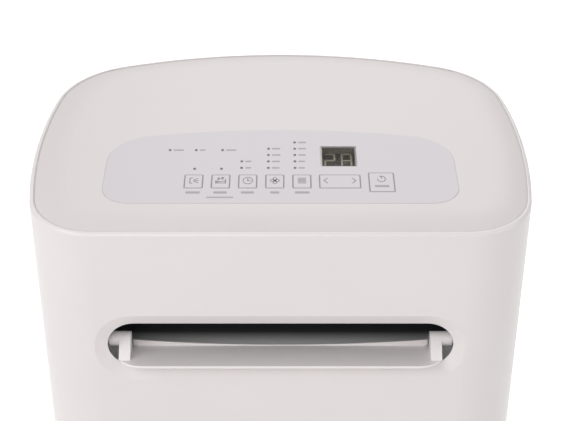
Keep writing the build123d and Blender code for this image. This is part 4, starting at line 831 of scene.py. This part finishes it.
def seenDirectly(tree):
    # 1 for what the camera sees itself, in a reflection or through the window
    rays = addNode(tree, "ShaderNodeLightPath")
    seen = addNode(
        tree,
        "ShaderNodeMath",
        {"operation": "MAXIMUM"},
        {0: rays.outputs["Is Camera Ray"], 1: rays.outputs["Is Glossy Ray"]},
    )
    either = addNode(
        tree,
        "ShaderNodeMath",
        {"operation": "MAXIMUM"},
        {0: seen.outputs[0], 1: rays.outputs["Is Transmission Ray"]},
    )
    return either.outputs[0]


# soft boxes round the machine, in W, with the world's own light and the floor's lift to white
studio = {
    "world": 0.48, "floorLift": 0.53,
    "key": {"place": (-1.7, -1.35, 2.3), "size": 1.5, "power": 24.2, "aim": (0, 0, 0.55)},
    "front": {"place": (-0.3, -1.7, 1.9), "size": 0.7, "power": 8, "aim": (0, 0, 0.6)},
    "fill": {"place": (2.3, -0.9, 1.4), "size": 1.6, "power": 8.5, "aim": (0, 0, 0.5)},
    "back": {"place": (0.2, 2.0, 1.9), "size": 1.4, "power": 12, "aim": (0, 0, 0.6)},
}
floorBoard = {"size": 12, "cloud": 3.0, "light": "#F6F5F4", "shade": "#F4F3F2", "roughness": 0.8}


def paleFloor():
    # pale painted board: it looks white where it is lit, and keeps the shadow
    bpy.ops.object.select_all(action="DESELECT")
    bpy.ops.mesh.primitive_plane_add(size=floorBoard["size"], location=(0, 0, 0))
    floor = bpy.context.active_object
    floor.name = "floor"
    finish, tree = newFinish("paleFloor")
    spot = addNode(tree, "ShaderNodeTexCoord").outputs["Object"]
    cloud = addNode(tree, "ShaderNodeTexNoise", {"Scale": floorBoard["cloud"]}, {"Vector": spot})
    tint = addNode(
        tree,
        "ShaderNodeMix",
        {"data_type": "RGBA", 6: linear(floorBoard["shade"]), 7: linear(floorBoard["light"])},
        {"Factor": cloud.outputs["Fac"]},
    )
    skin = addNode(
        tree,
        "ShaderNodeBsdfPrincipled",
        {"Roughness": floorBoard["roughness"]},
        {"Base Color": tint.outputs[2]},
    )
    lift = addNode(tree, "ShaderNodeMapRange", {"To Max": studio["floorLift"]}, {"Value": seenDirectly(tree)})
    glow = addNode(tree, "ShaderNodeEmission", None, {"Strength": lift.outputs["Result"]})
    both = addNode(tree, "ShaderNodeAddShader", None, {0: skin.outputs["BSDF"], 1: glow.outputs["Emission"]})
    addNode(tree, "ShaderNodeOutputMaterial", None, {"Surface": both.outputs["Shader"]})
    floor.data.materials.append(finish)


def softBox(name, box):
    bpy.ops.object.light_add(type="AREA", location=box["place"])
    lamp = bpy.context.active_object
    lamp.name = name
    lamp.data.shape = "SQUARE"
    lamp.data.size = box["size"]
    lamp.data.energy = box["power"]
    lamp.rotation_euler = (Vector(box["aim"]) - Vector(box["place"])).to_track_quat("-Z", "Y").to_euler()


def studioWorld():
    world = bpy.data.worlds.new("studio")
    bpy.context.scene.world = world
    world.use_nodes = True
    tree = world.node_tree
    tree.nodes.clear()
    power = addNode(
        tree, "ShaderNodeMapRange", {"To Min": studio["world"], "To Max": 1.0}, {"Value": seenDirectly(tree)}
    )
    sky = addNode(
        tree, "ShaderNodeBackground", {"Color": (1, 1, 1, 1)}, {"Strength": power.outputs["Result"]}
    )
    addNode(tree, "ShaderNodeOutputWorld", None, {"Surface": sky.outputs["Background"]})


paleFloor()
for name in ("key", "front", "fill", "back"):
    softBox(name, studio[name])
studioWorld()
bpy.context.scene.view_settings.view_transform = "Standard"
print("floor and lights set")
